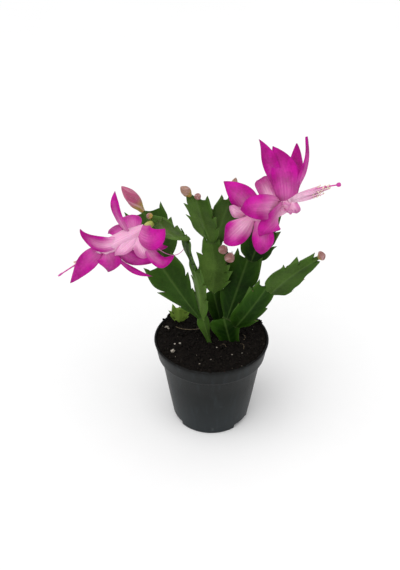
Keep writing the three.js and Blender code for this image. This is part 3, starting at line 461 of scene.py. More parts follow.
def put(name, data):
    """A new object in the scene."""
    made = bpy.data.objects.new(name, data)
    bpy.context.scene.collection.objects.link(made)
    return made


class Arc:
    """A quadratic curve through its two ends, pulled towards a middle point."""

    def __init__(self, start, middle, end):
        self.points = (start, middle, end)

    def point(self, t):
        """A point of the curve, 0 at its start and 1 at its end."""
        a, b, c = self.points
        return a * (1 - t) ** 2 + b * (2 * t * (1 - t)) + c * t**2

    def along(self, t):
        """The way the curve runs at a point."""
        a, b, c = self.points
        return ((b - a) * (1 - t) + (c - b) * t).normalized()

    def length(self):
        """The length of the curve, measured in short straight steps."""
        places = [self.point(i / ARC_STEPS) for i in range(ARC_STEPS + 1)]
        return sum((q - p).length for p, q in zip(places, places[1:]))


class Shape:
    """Points and faces of one piece in millimetres. Each point has its place in the growth:
    across from -1 to 1, along from 0 to 1, and a tint."""

    def __init__(self):
        self.points = []
        self.growth = []
        self.faces = []

    def add(self, points, growth, faces):
        """Adds points with their growth, and faces that count from the first of them."""
        first = len(self.points)
        self.points += points
        self.growth += growth
        self.faces += [tuple(first + k for k in face) for face in faces]

    def loft(self, rows, place):
        """Closed rings of points, as long as each other, joined in turn and capped at both ends."""
        n = len(rows[0])
        faces = [
            (i * n + j, i * n + (j + 1) % n, (i + 1) * n + (j + 1) % n, (i + 1) * n + j)
            for i in range(len(rows) - 1)
            for j in range(n)
        ]
        faces.append(tuple(reversed(range(n))))
        faces.append(tuple(range((len(rows) - 1) * n, len(rows) * n)))
        self.add([p for row in rows for p in row], [g for row in place for g in row], faces)

    def sheet(self, upper, lower, place):
        """A thin closed sheet between two grids with the same edges."""
        rings = [up + low[-2:0:-1] for up, low in zip(upper, lower)]
        self.loft(rings, [marks + marks[-2:0:-1] for marks in place])

    def rod(self, line, radius, steps, sides, tint=0.0):
        """A round rod along an Arc. radius is a number or a function of the part along it."""
        rows, place = [], []
        for i in range(steps + 1):
            t = i / steps
            a, b = crossing(line.along(t))
            wide = radius(t) if callable(radius) else radius
            rows.append([line.point(t) + turned(a, b, w) * wide for w in around(sides)])
            place.append([(math.cos(w), t, tint) for w in around(sides)])
        self.loft(rows, place)

    def ball(self, centre, size, tint=0.0, turn=None, fine=2, rough=0.0, seed=0):
        """A small round body. size is its half widths, and rough is how uneven it is."""
        ball = bmesh.new()
        bmesh.ops.create_icosphere(ball, subdivisions=fine, radius=1)
        turn = turn or Quaternion()
        points = []
        for v in ball.verts:
            swell = 1 + rough * noise.noise(v.co * 1.7 + Vector((seed, 0, 0)))
            points.append(centre + turn @ Vector(c * s * swell for c, s in zip(v.co, size)))
        faces = [tuple(v.index for v in f.verts) for f in ball.faces]
        self.add(points, [(v.co.x, v.co.z / 2 + 0.5, tint) for v in ball.verts], faces)
        ball.free()

    def piece(self, name, finish, slot, *nodes):
        """Makes the Blender object, rides it on the plant's one body and hides the parts of the solids
        that it replaces.
        """
        mesh = bpy.data.meshes.new(name)
        mesh.from_pydata([p * MM for p in self.points], [], self.faces)
        growth = mesh.attributes.new("growth", "FLOAT_VECTOR", "POINT")
        growth.data.foreach_set("vector", [x for g in self.growth for x in g])
        whole = bmesh.new()
        whole.from_mesh(mesh)
        bmesh.ops.recalc_face_normals(whole, faces=whole.faces)
        whole.to_mesh(mesh)
        whole.free()
        mesh.shade_smooth()
        mesh.materials.append(finish)
        made = put(name, mesh)
        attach(made, "root")
        if nodes:
            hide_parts(*nodes)
        return made


# Materials


def feed(tree, socket, value):
    """Gives an input its value, or links it to the socket that feeds it."""
    if isinstance(value, bpy.types.NodeSocket):
        tree.links.new(value, socket)
    elif socket.type == "RGBA":
        socket.default_value = (*value[:3], 1)
    else:
        socket.default_value = value


def add_node(tree, kind, inputs=None, **settings):
    """A shader node with its settings. Each input is a value or the socket that feeds it."""
    made = tree.nodes.new("ShaderNode" + kind)
    for name, value in settings.items():
        setattr(made, name, value)
    for name, value in (inputs or {}).items():
        feed(tree, made.inputs[name], value)
    return made


def sums(tree, operation, *values, clamp=False):
    """A Math node's result."""
    inputs = dict(enumerate(values))
    return add_node(tree, "Math", inputs, operation=operation, use_clamp=clamp).outputs[0]


def band(tree, value, low, high, to_low=0.0, to_high=1.0):
    """value from low to high, spread smoothly over a new range."""
    return add_node(
        tree, "MapRange",
        {"Value": value, "From Min": low, "From Max": high, "To Min": to_low, "To Max": to_high},
        interpolation_type="SMOOTHSTEP",
    ).outputs["Result"]


def blend(tree, part, first, second, kind="MIX"):
    """A mix of two colours."""
    inputs = {0: part, 6: first, 7: second}
    return add_node(tree, "Mix", inputs, data_type="RGBA", blend_type=kind).outputs[2]


def layer(tree, tone, over, mask, part):
    """A colour laid over another where a mask says, at part of its strength."""
    return blend(tree, sums(tree, "MULTIPLY", mask, part), tone, over)


def shade(tone, part):
    """A darker or lighter colour."""
    return [c * part for c in tone]


def new_group(name, inputs, outputs):
    """An empty shader node group with named sockets, and its input and output nodes."""
    group = bpy.data.node_groups.new(name, "ShaderNodeTree")
    for socket, value in inputs.items():
        kind = "NodeSocketColor" if isinstance(value, tuple) else "NodeSocketFloat"
        made = group.interface.new_socket(socket, in_out="INPUT", socket_type=kind)
        made.default_value = (*value, 1) if isinstance(value, tuple) else value
    for socket, kind in outputs.items():
        group.interface.new_socket(socket, in_out="OUTPUT", socket_type="NodeSocket" + kind)
    return group, group.nodes.new("NodeGroupInput").outputs, group.nodes.new("NodeGroupOutput")


def object_place(tree):
    """A point's place in its object, in metres."""
    return tree.nodes.new("ShaderNodeTexCoord").outputs["Object"]


def mottle_group():
    """Soft patches of two colours, with a finer grain over them."""
    group, given, out = new_group(
        "Mottle",
        {"Dark": (0.1, 0.1, 0.1), "Light": (0.3, 0.3, 0.3), "Patch": 200.0, "Grain": 1500.0},
        {"Color": "Color"},
    )
    place = object_place(group)
    patches = add_node(group, "TexNoise", {"Vector": place, "Scale": given["Patch"], "Detail": 4.0})
    grain = add_node(group, "TexNoise", {"Vector": place, "Scale": given["Grain"], "Detail": 2.0})
    both = sums(group, "MULTIPLY_ADD", grain.outputs["Fac"], 0.35, patches.outputs["Fac"])
    mask = band(group, both, 0.45, 0.9)
    group.links.new(blend(group, mask, given["Dark"], given["Light"]), out.inputs["Color"])
    return group


def grain_group():
    """A height that mixes fine grain with soft dents, for a Bump node."""
    group, given, out = new_group(
        "Grain", {"Fine": 3000.0, "Coarse": 400.0, "Balance": 0.5}, {"Height": "Float"}
    )
    place = object_place(group)
    fine = add_node(group, "TexNoise", {"Vector": place, "Scale": given["Fine"], "Detail": 3.0})
    coarse = add_node(group, "TexNoise", {"Vector": place, "Scale": given["Coarse"], "Detail": 2.0})
    mixed = add_node(
        group, "Mix",
        {0: given["Balance"], 2: fine.outputs["Fac"], 3: coarse.outputs["Fac"]},
    )
    group.links.new(mixed.outputs[0], out.inputs["Height"])
    return group


def growth_group():
    """Where a point lies in its leaf or petal: off the midrib, along it, and the tint."""
    group, _, out = new_group(
        "Growth", {}, {"Across": "Float", "Side": "Float", "Along": "Float", "Tint": "Float"}
    )
    read = add_node(group, "Attribute", attribute_name="growth")
    parts = add_node(group, "SeparateXYZ", {"Vector": read.outputs["Vector"]}).outputs
    group.links.new(parts["X"], out.inputs["Across"])
    group.links.new(sums(group, "ABSOLUTE", parts["X"]), out.inputs["Side"])
    group.links.new(parts["Y"], out.inputs["Along"])
    group.links.new(parts["Z"], out.inputs["Tint"])
    return group


def veins_group():
    """Veins that leave the midrib and run forward to the edge, as a mask."""
    group, given, out = new_group(
        "Veins",
        {"Side": 0.0, "Along": 0.0, "Count": 6.0, "Slope": 0.3, "Width": 0.25, "Wander": 0.3},
        {"Mask": "Float"},
    )
    noise_node = add_node(
        group, "TexNoise", {"Vector": object_place(group), "Scale": 160.0, "Detail": 2.0}
    )
    wander = sums(group, "MULTIPLY", sums(group, "SUBTRACT", noise_node.outputs["Fac"], 0.5),
                  given["Wander"])
    sloped = sums(group, "MULTIPLY", given["Side"], given["Slope"])
    run = sums(group, "ADD", sums(group, "SUBTRACT", given["Along"], sloped), wander)
    phase = sums(group, "FRACT", sums(group, "MULTIPLY", run, given["Count"]))
    away = sums(group, "ABSOLUTE", sums(group, "SUBTRACT", phase, 0.5))
    near = sums(group, "SUBTRACT", 1.0, sums(group, "DIVIDE", away, given["Width"]), clamp=True)
    group.links.new(near, out.inputs["Mask"])
    return group


def streaks_group():
    """Uneven lines that run the length of a petal or a bud, as a mask."""
    group, given, out = new_group(
        "Streaks", {"Across": 0.0, "Along": 0.0, "Tint": 0.0, "Count": 6.0}, {"Mask": "Float"}
    )
    wide = sums(group, "MULTIPLY", given["Across"], given["Count"])
    seed = sums(group, "MULTIPLY", given["Tint"], 37.0)
    place = add_node(
        group, "CombineXYZ",
        {"X": wide, "Y": sums(group, "MULTIPLY", given["Along"], 1.3), "Z": seed},
    )
    lines = add_node(
        group, "TexNoise", {"Vector": place.outputs["Vector"], "Scale": 1.6, "Detail": 4.0}
    )
    group.links.new(band(group, lines.outputs["Fac"], 0.35, 0.7), out.inputs["Mask"])
    return group


def place_group(tree, name, make, inputs=None):
    """A shared group in a material, with its values. It is made once and then found by its name."""
    group = bpy.data.node_groups.get(name) or make()
    return add_node(tree, "Group", inputs, node_tree=group).outputs


def growth_of(tree):
    """The Growth group's values."""
    return place_group(tree, "Growth", growth_group)


def mottled(tree, dark, light, patch, grain=1500.0):
    """The Mottle group's colour."""
    inputs = {"Dark": dark, "Light": light, "Patch": patch, "Grain": grain}
    return place_group(tree, "Mottle", mottle_group, inputs)["Color"]


def grained(tree, fine, coarse, balance):
    """The Grain group's height."""
    inputs = {"Fine": fine, "Coarse": coarse, "Balance": balance}
    return place_group(tree, "Grain", grain_group, inputs)["Height"]


def streaked(tree, grown, count):
    """The Streaks group's mask."""
    inputs = {"Across": grown["Across"], "Along": grown["Along"], "Tint": grown["Tint"]}
    return place_group(tree, "Streaks", streaks_group, {**inputs, "Count": count})["Mask"]


def new_material(name, **values):
    """A material, its tree and its Principled shader, with plain values on the shader."""
    made = bpy.data.materials.new(name)
    made.use_nodes = True
    shader = made.node_tree.nodes["Principled BSDF"]
    for socket, value in values.items():
        shader.inputs[socket.replace("_", " ")].default_value = value
    return made, made.node_tree, shader


def bump(tree, shader, height, distance, strength):
    """Small unevenness, its distance in metres."""
    made = add_node(tree, "Bump", {"Height": height, "Distance": distance, "Strength": strength})
    tree.links.new(made.outputs["Normal"], shader.inputs["Normal"])


def leaf_material(name, look):
    """Flat cactus stem: mottled green, paler at its midrib, rim and joint, with faint veins.
    The thin pale line on its rim is a painted highlight, and one half is darkened by painted shade.
    """
    made, tree, shader = new_material(
        name, Roughness=0.46, Specular_IOR_Level=0.07, Subsurface_Weight=0.03,
        Subsurface_Radius=(0.4, 0.9, 0.2), Subsurface_Scale=0.0015,
    )
    grown = growth_of(tree)
    dark = mottled(tree, shade(look.leaf_dark, 0.7), shade(look.leaf_dark, 2.3), 75.0)
    light = mottled(tree, shade(look.leaf_light, 0.85), shade(look.leaf_light, 1.75), 75.0)
    # The tint mixes the dark and light greens: partly the segment's own green, partly painted light and
    # shade.
    tone = blend(tree, grown["Tint"], dark, light)
    # A segment is paler towards its end: partly the fresher green of new growth, partly painted light.
    fresh_and_lit = band(tree, grown["Along"], 0.55, 1.0, 0.0, 0.35)
    tone = blend(tree, fresh_and_lit, tone, look.leaf_fresh)
    # Painted shade: one half of a segment is a little darker than the other, as if a crease turned it
    # from the light.
    half = band(tree, grown["Across"], -0.12, 0.25, 0.0, 0.28)
    tone = blend(tree, half, tone, look.leaf_dark)
    veins = place_group(
        tree, "Veins", veins_group,
        {"Side": grown["Side"], "Along": grown["Along"], "Count": 5.0, "Slope": 0.34},
    )["Mask"]
    tone = layer(tree, tone, look.leaf_rib_and_rim_highlight, band(tree, grown["Side"], 0.0, 0.12, 1.0, 0.0), 0.26)
    tone = layer(tree, tone, look.leaf_rib_and_rim_highlight, veins, 0.04)
    tone = layer(tree, tone, look.leaf_fresh, band(tree, grown["Side"], 0.5, 1.0), 0.4)
    # A thin painted highlight along the very edge of a segment.
    tone = layer(tree, tone, look.leaf_rib_and_rim_highlight, band(tree, grown["Side"], 0.93, 1.0), 0.32)
    tone = layer(tree, tone, look.leaf_joint, band(tree, grown["Along"], 0.0, 0.05, 1.0, 0.0), 0.25)
    tree.links.new(tone, shader.inputs["Base Color"])
    grain = grained(tree, 2600.0, 420.0, 0.55)
    swell = add_node(
        tree, "TexNoise", {"Vector": object_place(tree), "Scale": 95.0, "Detail": 1.0}
    )
    height = sums(tree, "MULTIPLY_ADD", veins, 0.3, grain)
    height = sums(tree, "MULTIPLY_ADD", swell.outputs["Fac"], 7.0, height)
    bump(tree, shader, height, 0.00022, 0.6)
    tree.links.new(band(tree, grain, 0.3, 0.7, 0.4, 0.56), shader.inputs["Roughness"])
    return made


def petal_material(look):
    """Petal: magenta, paler towards its root and middle, deeper at its rim, with uneven lines. The
    pale middle is partly a painted highlight.
    """
    made, tree, shader = new_material(
        "petal", Roughness=0.5, Specular_IOR_Level=0.1, Subsurface_Weight=0.12,
        Subsurface_Radius=(1.0, 0.15, 0.6), Subsurface_Scale=0.0015,
    )
    grown = growth_of(tree)
    streaks = streaked(tree, grown, 7.0)
    root = band(tree, grown["Along"], 0.08, 0.52, 1.0, 0.0)
    # The light middle, which grows with the petal's pale: partly its own paler colour, partly a painted
    # highlight.
    middle = band(tree, grown["Side"], 0.0, 0.8, 1.0, 0.0)
    belly = band(tree, grown["Along"], 0.35, 0.92, 1.0, 0.0)
    soft = sums(tree, "MULTIPLY", sums(tree, "MULTIPLY", middle, belly), grown["Tint"])
    soft = sums(tree, "MULTIPLY", soft, 0.75)
    # The palest petals are washed out all over.
    wash = band(tree, grown["Tint"], 1.1, 1.5, 0.0, 0.7)
    soft = sums(tree, "ADD", soft, wash)
    spread = sums(tree, "MULTIPLY", root, sums(tree, "MULTIPLY_ADD", grown["Tint"], 0.9, 0.08))
    uneven = sums(tree, "MULTIPLY_ADD", streaks, 0.24, 0.84)
    pale = sums(tree, "MULTIPLY", sums(tree, "ADD", spread, soft), uneven, clamp=True)
    tone = mottled(tree, look.petal_deep, look.petal_bright, 130.0, 900.0)
    tone = blend(tree, pale, tone, look.petal_pale)
    tone = layer(tree, tone, look.petal_deep, sums(tree, "SUBTRACT", 1.0, streaks), 0.22)
    rim = sums(tree, "MULTIPLY", band(tree, grown["Side"], 0.86, 1.0), 0.35)
    point = band(tree, grown["Along"], 0.88, 1.0, 0.0, 0.45)
    rim = sums(tree, "ADD", rim, point, clamp=True)
    tone = layer(tree, tone, look.petal_rim, rim, sums(tree, "SUBTRACT", 1.0, wash))
    tree.links.new(tone, shader.inputs["Base Color"])
    height = sums(tree, "MULTIPLY_ADD", streaks, 0.7, grained(tree, 1800.0, 300.0, 0.5))
    bump(tree, shader, height, 0.0003, 0.5)
    return made


def bud_material(look):
    """Closed bud: olive at its foot and beige, brown or pink above, with painted shade at the edges of
    its scales and pale streaks that are partly a painted highlight.
    """
    made, tree, shader = new_material(
        "bud", Roughness=0.5, Specular_IOR_Level=0.2, Subsurface_Weight=0.08,
        Subsurface_Radius=(0.8, 0.4, 0.3), Subsurface_Scale=0.0015,
    )
    grown = growth_of(tree)
    streaks = streaked(tree, grown, 4.0)
    half_ripe = blend(tree, band(tree, grown["Tint"], 0.1, 0.5), look.bud_young, look.bud_brown)
    body = blend(tree, band(tree, grown["Tint"], 0.55, 0.95), half_ripe, look.bud_pink)
    tone = blend(tree, band(tree, grown["Along"], 0.18, 0.5), look.bud_foot, body)
    dusty = mottled(tree, (0.6, 0.55, 0.55), (1.0, 1.0, 1.0), 500.0, 2200.0)
    tone = blend(tree, 0.5, tone, dusty, kind="MULTIPLY")
    # Pale streaks, strongest down the middle of each scale: partly the bud's own stripes, partly a
    # painted highlight.
    back = band(tree, grown["Side"], 0.0, 0.55, 0.6, 0.15)
    tone = layer(tree, tone, look.bud_stripe_and_highlight, streaks, back)
    # Painted shade: a dark line along the edge of each scale, where it lies over the next.
    tone = layer(tree, tone, look.bud_seam_shade, band(tree, grown["Side"], 0.78, 1.0), 0.6)
    tree.links.new(tone, shader.inputs["Base Color"])
    height = sums(tree, "ADD", streaks, grained(tree, 2400.0, 600.0, 0.4))
    bump(tree, shader, height, 0.00022, 0.6)
    return made


def tissue_material(name, root, tip, roughness=0.45):
    """Soft flower tissue whose colour runs from its root to its tip."""
    made, tree, shader = new_material(
        name, Roughness=roughness, Specular_IOR_Level=0.4, Subsurface_Weight=0.2,
        Subsurface_Radius=(1.0, 0.5, 0.6), Subsurface_Scale=0.001,
    )
    tone = blend(tree, band(tree, growth_of(tree)["Along"], 0.1, 0.9), root, tip)
    dusty = mottled(tree, (0.7, 0.68, 0.68), (1.0, 1.0, 1.0), 600.0, 2600.0)
    tone = blend(tree, 0.5, tone, dusty, kind="MULTIPLY")
    tree.links.new(tone, shader.inputs["Base Color"])
    bump(tree, shader, grained(tree, 3200.0, 700.0, 0.4), 0.0001, 0.4)
    return made


def pot_material(look):
    """Charcoal nursery plastic: satin, with faint upright streaks and dust by its rim, and paler
    and scuffed towards its foot."""
    made, tree, shader = new_material("pot", Roughness=0.44, Specular_IOR_Level=0.12)
    place = object_place(tree)
    drawn = add_node(tree, "Mapping", {"Vector": place, "Scale": (1.0, 1.0, 0.06)})
    streaks = add_node(
        tree, "TexNoise", {"Vector": drawn.outputs["Vector"], "Scale": 420.0, "Detail": 3.0}
    )
    tone = mottled(tree, look.plastic, shade(look.plastic, 1.25), 60.0)
    streak = band(tree, streaks.outputs["Fac"], 0.48, 0.72, 0.0, 0.32)
    tone = blend(tree, streak, tone, look.plastic_pale)
    height = add_node(tree, "SeparateXYZ", {"Vector": place}).outputs["Z"]
    # The pot is paler towards its foot.
    low = band(tree, height, 0.0, PALE_TOP * MM, 0.45, 0.0)
    tone = blend(tree, low, tone, look.plastic_pale)
    scuffs = add_node(tree, "TexNoise", {"Vector": place, "Scale": 150.0, "Detail": 5.0})
    scuff = sums(
        tree, "MULTIPLY", band(tree, scuffs.outputs["Fac"], 0.64, 0.74),
        band(tree, height, 0.0, SCUFF_TOP * MM, 0.26, 0.03),
    )
    tone = blend(tree, scuff, tone, look.plastic_scuff)
    dust = add_node(tree, "TexNoise", {"Vector": place, "Scale": 900.0, "Detail": 4.0})
    dusty = band(tree, dust.outputs["Fac"], 0.36, 0.6, 0.3, 1.0)
    by_rim = band(tree, height, DUST_FOOT * MM, DUST_TOP * MM, 0.0, 0.9)
    tone = layer(tree, tone, look.soil_dark, dusty, by_rim)
    tree.links.new(tone, shader.inputs["Base Color"])
    rough = sums(tree, "MULTIPLY_ADD", streaks.outputs["Fac"], 0.16, 0.36)
    rough = sums(tree, "ADD", rough, sums(tree, "MULTIPLY", scuff, 0.3))
    tree.links.new(rough, shader.inputs["Roughness"])
    bump(tree, shader, grained(tree, 3400.0, 240.0, 0.35), 0.00012, 0.5)
    return made


def soil_material(look):
    """Moist potting soil: near black, with brown grains and light specks."""
    made, tree, shader = new_material("soil", Roughness=0.9, Specular_IOR_Level=0.08)
    tone = mottled(tree, look.soil_dark, look.soil_light, 700.0, 3000.0)
    tone = blend(tree, growth_of(tree)["Tint"], tone, look.soil_speck)
    tree.links.new(tone, shader.inputs["Base Color"])
    bump(tree, shader, grained(tree, 2800.0, 900.0, 0.5), 0.0006, 0.9)
    return made


def plain_grain_material(name, dark, light, roughness, height=0.0003):
    """A mottled, slightly rough solid colour, as on perlite, a dry root or a bristle."""
    made, tree, shader = new_material(name, Roughness=roughness, Specular_IOR_Level=0.3)
    tree.links.new(mottled(tree, dark, light, 900.0, 3200.0), shader.inputs["Base Color"])
    bump(tree, shader, grained(tree, 3600.0, 1200.0, 0.5), height, 0.8)
    return made


# Pot and soil


def pot_profile():
    """Half section of the pot, from the middle of its underside round to its inner wall."""
    collar_foot = POT_HEIGHT - COLLAR_HEIGHT
    lip = RIM_RADIUS - EDGE / 2
    inside = RIM_RADIUS - LIP_WIDTH
    turn = [math.radians(a) for a in range(0, 181, 30)]
    rim = [
        (lerp(inside, RIM_RADIUS, (1 + math.cos(a)) / 2), POT_HEIGHT - EDGE * (1 - math.sin(a)))
        for a in turn
    ]
    return [
        # The underside and the rounded foot.
        (0, 0.0), (DRAIN["circle"] + 5, 0.0), (BODY_FOOT_RADIUS - 1.1, 0.0),
        (BODY_FOOT_RADIUS - 0.5, 0.12), (BODY_FOOT_RADIUS - 0.1, 0.5), (BODY_FOOT_RADIUS, 1.1),
        # The tapered wall and the rounded step under the collar.
        (lerp(BODY_FOOT_RADIUS, BODY_TOP_RADIUS, 0.35), collar_foot * 0.35),
        (lerp(BODY_FOOT_RADIUS, BODY_TOP_RADIUS, 0.7), collar_foot * 0.7),
        (BODY_TOP_RADIUS - 0.1, collar_foot - 1.0), (BODY_TOP_RADIUS + 0.15, collar_foot - 0.45),
        (BODY_TOP_RADIUS + 0.8, collar_foot - 0.12), (COLLAR_FOOT_RADIUS - 0.4, collar_foot + 0.05),
        # The collar and its rim.
        (COLLAR_FOOT_RADIUS - 0.05, collar_foot + 0.4),
        (COLLAR_FOOT_RADIUS + 0.1, collar_foot + 1.2),
        (lerp(COLLAR_FOOT_RADIUS, lip, 0.6), collar_foot + COLLAR_HEIGHT * 0.6),
        *rim,
        # The inner wall and the floor.
        (inside - 0.05, POT_HEIGHT - 1.6), (COLLAR_FOOT_RADIUS - WALL, collar_foot + EDGE),
        (BODY_TOP_RADIUS - WALL, collar_foot - EDGE), (BODY_FOOT_RADIUS - WALL, FLOOR + EDGE),
        (BODY_FOOT_RADIUS - WALL - EDGE, FLOOR), (0, FLOOR),
    ]


def cut(piece, cutters):
    """Cuts closed meshes out of a piece and removes them."""
    for cutter in cutters:
        change = piece.modifiers.new("cut", "BOOLEAN")
        change.operation = "DIFFERENCE"
        change.solver = "EXACT"
        change.object = cutter
    graph = bpy.context.evaluated_depsgraph_get()
    whole = bpy.data.meshes.new_from_object(piece.evaluated_get(graph))
    piece.modifiers.clear()
    piece.data = whole
    for cutter in cutters:
        bpy.data.objects.remove(cutter)


def as_cutter(name, body):
    """An object that cuts, made of a closed bmesh."""
    mesh = bpy.data.meshes.new(name)
    body.to_mesh(mesh)
    body.free()
    return put(name, mesh)


def block(size, centre, bearing):
    """A box that cuts, turned about the upright axis."""
    body = bmesh.new()
    bmesh.ops.create_cube(body, size=1)
    turn = Matrix.Rotation(math.radians(bearing), 4, "Z")
    scale = Matrix.Diagonal((*[s * MM for s in size], 1))
    body.transform(turn @ Matrix.Translation(Vector(centre) * MM) @ scale)
    return as_cutter("block", body)


def drill(radius, x, y, bottom, top):
    """A round column that cuts."""
    body = bmesh.new()
    bmesh.ops.create_cone(
        body, segments=32, radius1=radius * MM, radius2=radius * MM, depth=(top - bottom) * MM,
        cap_ends=True, matrix=Matrix.Translation(Vector((x, y, (top + bottom) / 2)) * MM),
    )
    return as_cutter("drill", body)


def soil_height(x, y):
    """Height of the soil in millimetres: a low mound with crumbs, level by the pot's wall."""
    out = math.hypot(x, y) / RIM_RADIUS
    waves = (
        0.3 * math.sin(0.62 * x + 1.1) * math.cos(0.55 * y - 0.4)
        + 0.24 * math.sin(1.13 * x - 0.87 * y + 2.0)
        + 0.2 * math.cos(0.71 * x + 1.6 * y)
    )
    grain = sum(
        height * noise.noise(Vector((x * scale, y * scale, slice_at)))
        for height, scale, slice_at in SOIL_GRAIN
    )
    return SOIL_TOP + SOIL_MOUND * (1 - out**2) + (waves + grain) * (1 - out**4)


def on_soil(x, y, above):
    """A point a little above the soil."""
    return Vector((x, y, soil_height(x, y) + above))


def uneven(rng, size, most=1.2):
    """Half widths of a crumb, each of its own length."""
    return [size * rng.uniform(0.7, most) for _ in range(3)]


# Stems

# How each segment lies, by its name, noted as the stems grow.
frames = {}


def segment_frame(row, start):
    """How a segment lies: the line of its midrib, across its width and out of its flat side."""
    lean, heading = math.radians(row["lean"]), math.radians(row["heading"])
    along = Vector((
        math.sin(lean) * math.cos(heading), math.sin(lean) * math.sin(heading), math.cos(lean),
    ))
    right = Vector((1, 0, 0))
    across = (right - along * along.dot(right)).normalized()
    across.rotate(Quaternion(along, math.radians(row["turn"])))
    out = across.cross(along)
    sunk = 0 if "foot" in row else SUNK

    def line(t):
        held = min(max(t, 0), 1)
        bow = 4 * held * (1 - held)
        return (start + along * lerp(-sunk, row["length"], t)
                + out * bow * row["sag"] + across * bow * row["sway"])

    return {"along": along, "across": across, "out": out, "line": line, "length": row["length"]}


def place_on(row):
    """A point near the end of the segment that a row grows on."""
    at = frames[row["on"]]
    return at["line"](1 - row.get("back", 0) / at["length"]) + at["across"] * row.get("aside", 0)


def boss_at(row):
    """The boss of a bud or a bloom: its foot, the way it points, its height and its top."""
    reach = row["reach"] if "reach" in row else row["tube"]["mid"]
    direction = Vector(reach).normalized()
    foot = place_on(row)
    height = row.get("boss", BOSS_HEIGHT)
    return foot, direction, height, foot + direction * height


def envelope(row, t):
    """Half width of a segment at a part of its length, as a part of its widest."""
    if t < row["belly"]:
        return max(row["neck"], 1 - max(0, 1 - t / row["belly"]) ** row["base"])
    rest = max(0, (t - row["belly"]) / (1 - row["belly"]))
    return max(row["neck"], 1 - (1 - row["end"]) * rest**2)


def side_runs(row, teeth, sizes, horn_size):
    """One side of a segment as smooth runs between the tips of its teeth and its notches."""
    length, width = row["length"], row["width"]

    def at(t, more=0.0):
        return (t * length, envelope(row, t) * width / 2 + more)

    def hollow(tip, notch):
        return ((tip[0] + 2 * notch[0]) / 3 + 0.1, (tip[1] + 2 * notch[1]) / 3 - 0.15)

    first = teeth[0]
    runs = [[at(0), at(0.06), at(0.15), at(lerp(0.15, first, 0.5)), at(first - 0.03, 0.15)]]
    for k, (tooth, size) in enumerate(zip(teeth, sizes)):
        wide = at(tooth)[1]
        tip = (tooth * length + TOOTH["reach"] * size, wide + TOOTH["out"] * size)
        notch = ((tooth + 0.01) * length, wide - TOOTH["notch"] * size)
        after = teeth[k + 1] if k + 1 < len(teeth) else 0.97
        runs[-1].append(tip)
        runs.append([tip, hollow(tip, notch), notch])
        runs.append([notch, at(lerp(tooth, after, 0.3), -0.2), at(lerp(tooth, after, 0.62), 0.3)])
    wide = at(1)[1]
    horn = (length + HORN["reach"] * horn_size, wide + HORN["out"] * horn_size)
    notch = (0.985 * length, wide - HORN["notch"])
    runs[-1].append(horn)
    runs.append([horn, hollow(horn, notch), notch])
    runs.append([notch, (0.97 * length, wide * 0.35), (length, 0)])
    return runs


def bare_runs(row):
    """One side of a segment without teeth."""
    length, half = row["length"], row["width"] / 2
    side = [(t * length, lerp(row["neck"], 1, swell) * half) for t, swell in BARE_SWELL]
    return [side, [side[-1], (length, 0)]]


def follow(run, step):
    """Points every step or so along a smooth line through a run's points, without the last."""
    points = [Vector(p) for p in run]
    made = []
    for i in range(len(points) - 1):
        a, b = points[i], points[i + 1]
        before = points[i - 1] if i else a * 2 - b
        after = points[i + 2] if i + 2 < len(points) else b * 2 - a
        count = max(2, round((b - a).length / step))
        for k in range(count):
            s = k / count
            made.append(
                0.5 * (2 * a + (b - before) * s + (2 * before - 5 * a + 4 * b - after) * s**2
                       + (3 * a - before - 3 * b + after) * s**3)
            )
    return made


def segment_outline(row):
    """A segment's edge as a closed line of points (along, across) in millimetres."""
    if row.get("bare"):
        sides = [bare_runs(row), bare_runs(row)]
    else:
        sides = [
            side_runs(row, row["right"], row["right_size"], row["horns"][1]),
            side_runs(row, row["left"], row["left_size"], row["horns"][0]),
        ]
    right, left = [[p for run in runs for p in follow(run, EDGE_STEP)] for runs in sides]
    end = Vector((row["length"], 0))
    # The foot is sunk in what the segment grows from. Its points run from right to left, so that
    # the rings of points inside the edge leave it out.
    parts = [k / FOOT_PARTS for k in range(1, FOOT_PARTS)]
    foot = [Vector((0, lerp(left[0].y, -left[0].y, part))) for part in parts]
    return right + [end] + [Vector((p.x, -p.y)) for p in reversed(left)] + foot


def fill_points(edge):
    """Points inside an outline with their distance to it: rings by the edge, then a mesh."""
    near = kdtree.KDTree(len(edge) * SEARCH_PARTS)
    for i, a in enumerate(edge):
        b = edge[(i + 1) % len(edge)]
        for k in range(SEARCH_PARTS):
            near.insert((*a.lerp(b, k / SEARCH_PARTS), 0), i)
    near.balance()
    found = []
    for i, p in enumerate(edge):
        run = edge[(i + 1) % len(edge)] - edge[i - 1]
        inward = Vector((-run.y, run.x)).normalized()
        for inset in RING_INSETS:
            q = p - inward * inset
            # The innermost ring has every other point.
            if near.find((*q, 0))[2] > 0.8 * inset and (i % 2 or inset < RING_INSETS[-1]):
                found.append((q, inset))
    low = Vector((min(p.x for p in edge), min(p.y for p in edge)))
    high = Vector((max(p.x for p in edge), max(p.y for p in edge)))
    for j in range(int((high.x - low.x) / FILL_STEP)):
        for k in range(int((high.y - low.y) / FILL_STEP)):
            q = low + Vector((j, k + 0.5 * (j % 2))) * FILL_STEP
            depth = near.find((*q, 0))[2]
            if depth > RING_CLEAR:
                found.append((q, depth))
    return found


def segment_half(row, t):
    """Half the width of a segment's flat body, without its teeth."""
    if row.get("bare"):
        return lerp(row["neck"], 1, spread_on(BARE_SWELL, min(t, 1))) * row["width"] / 2
    return envelope(row, min(t, 1)) * row["width"] / 2


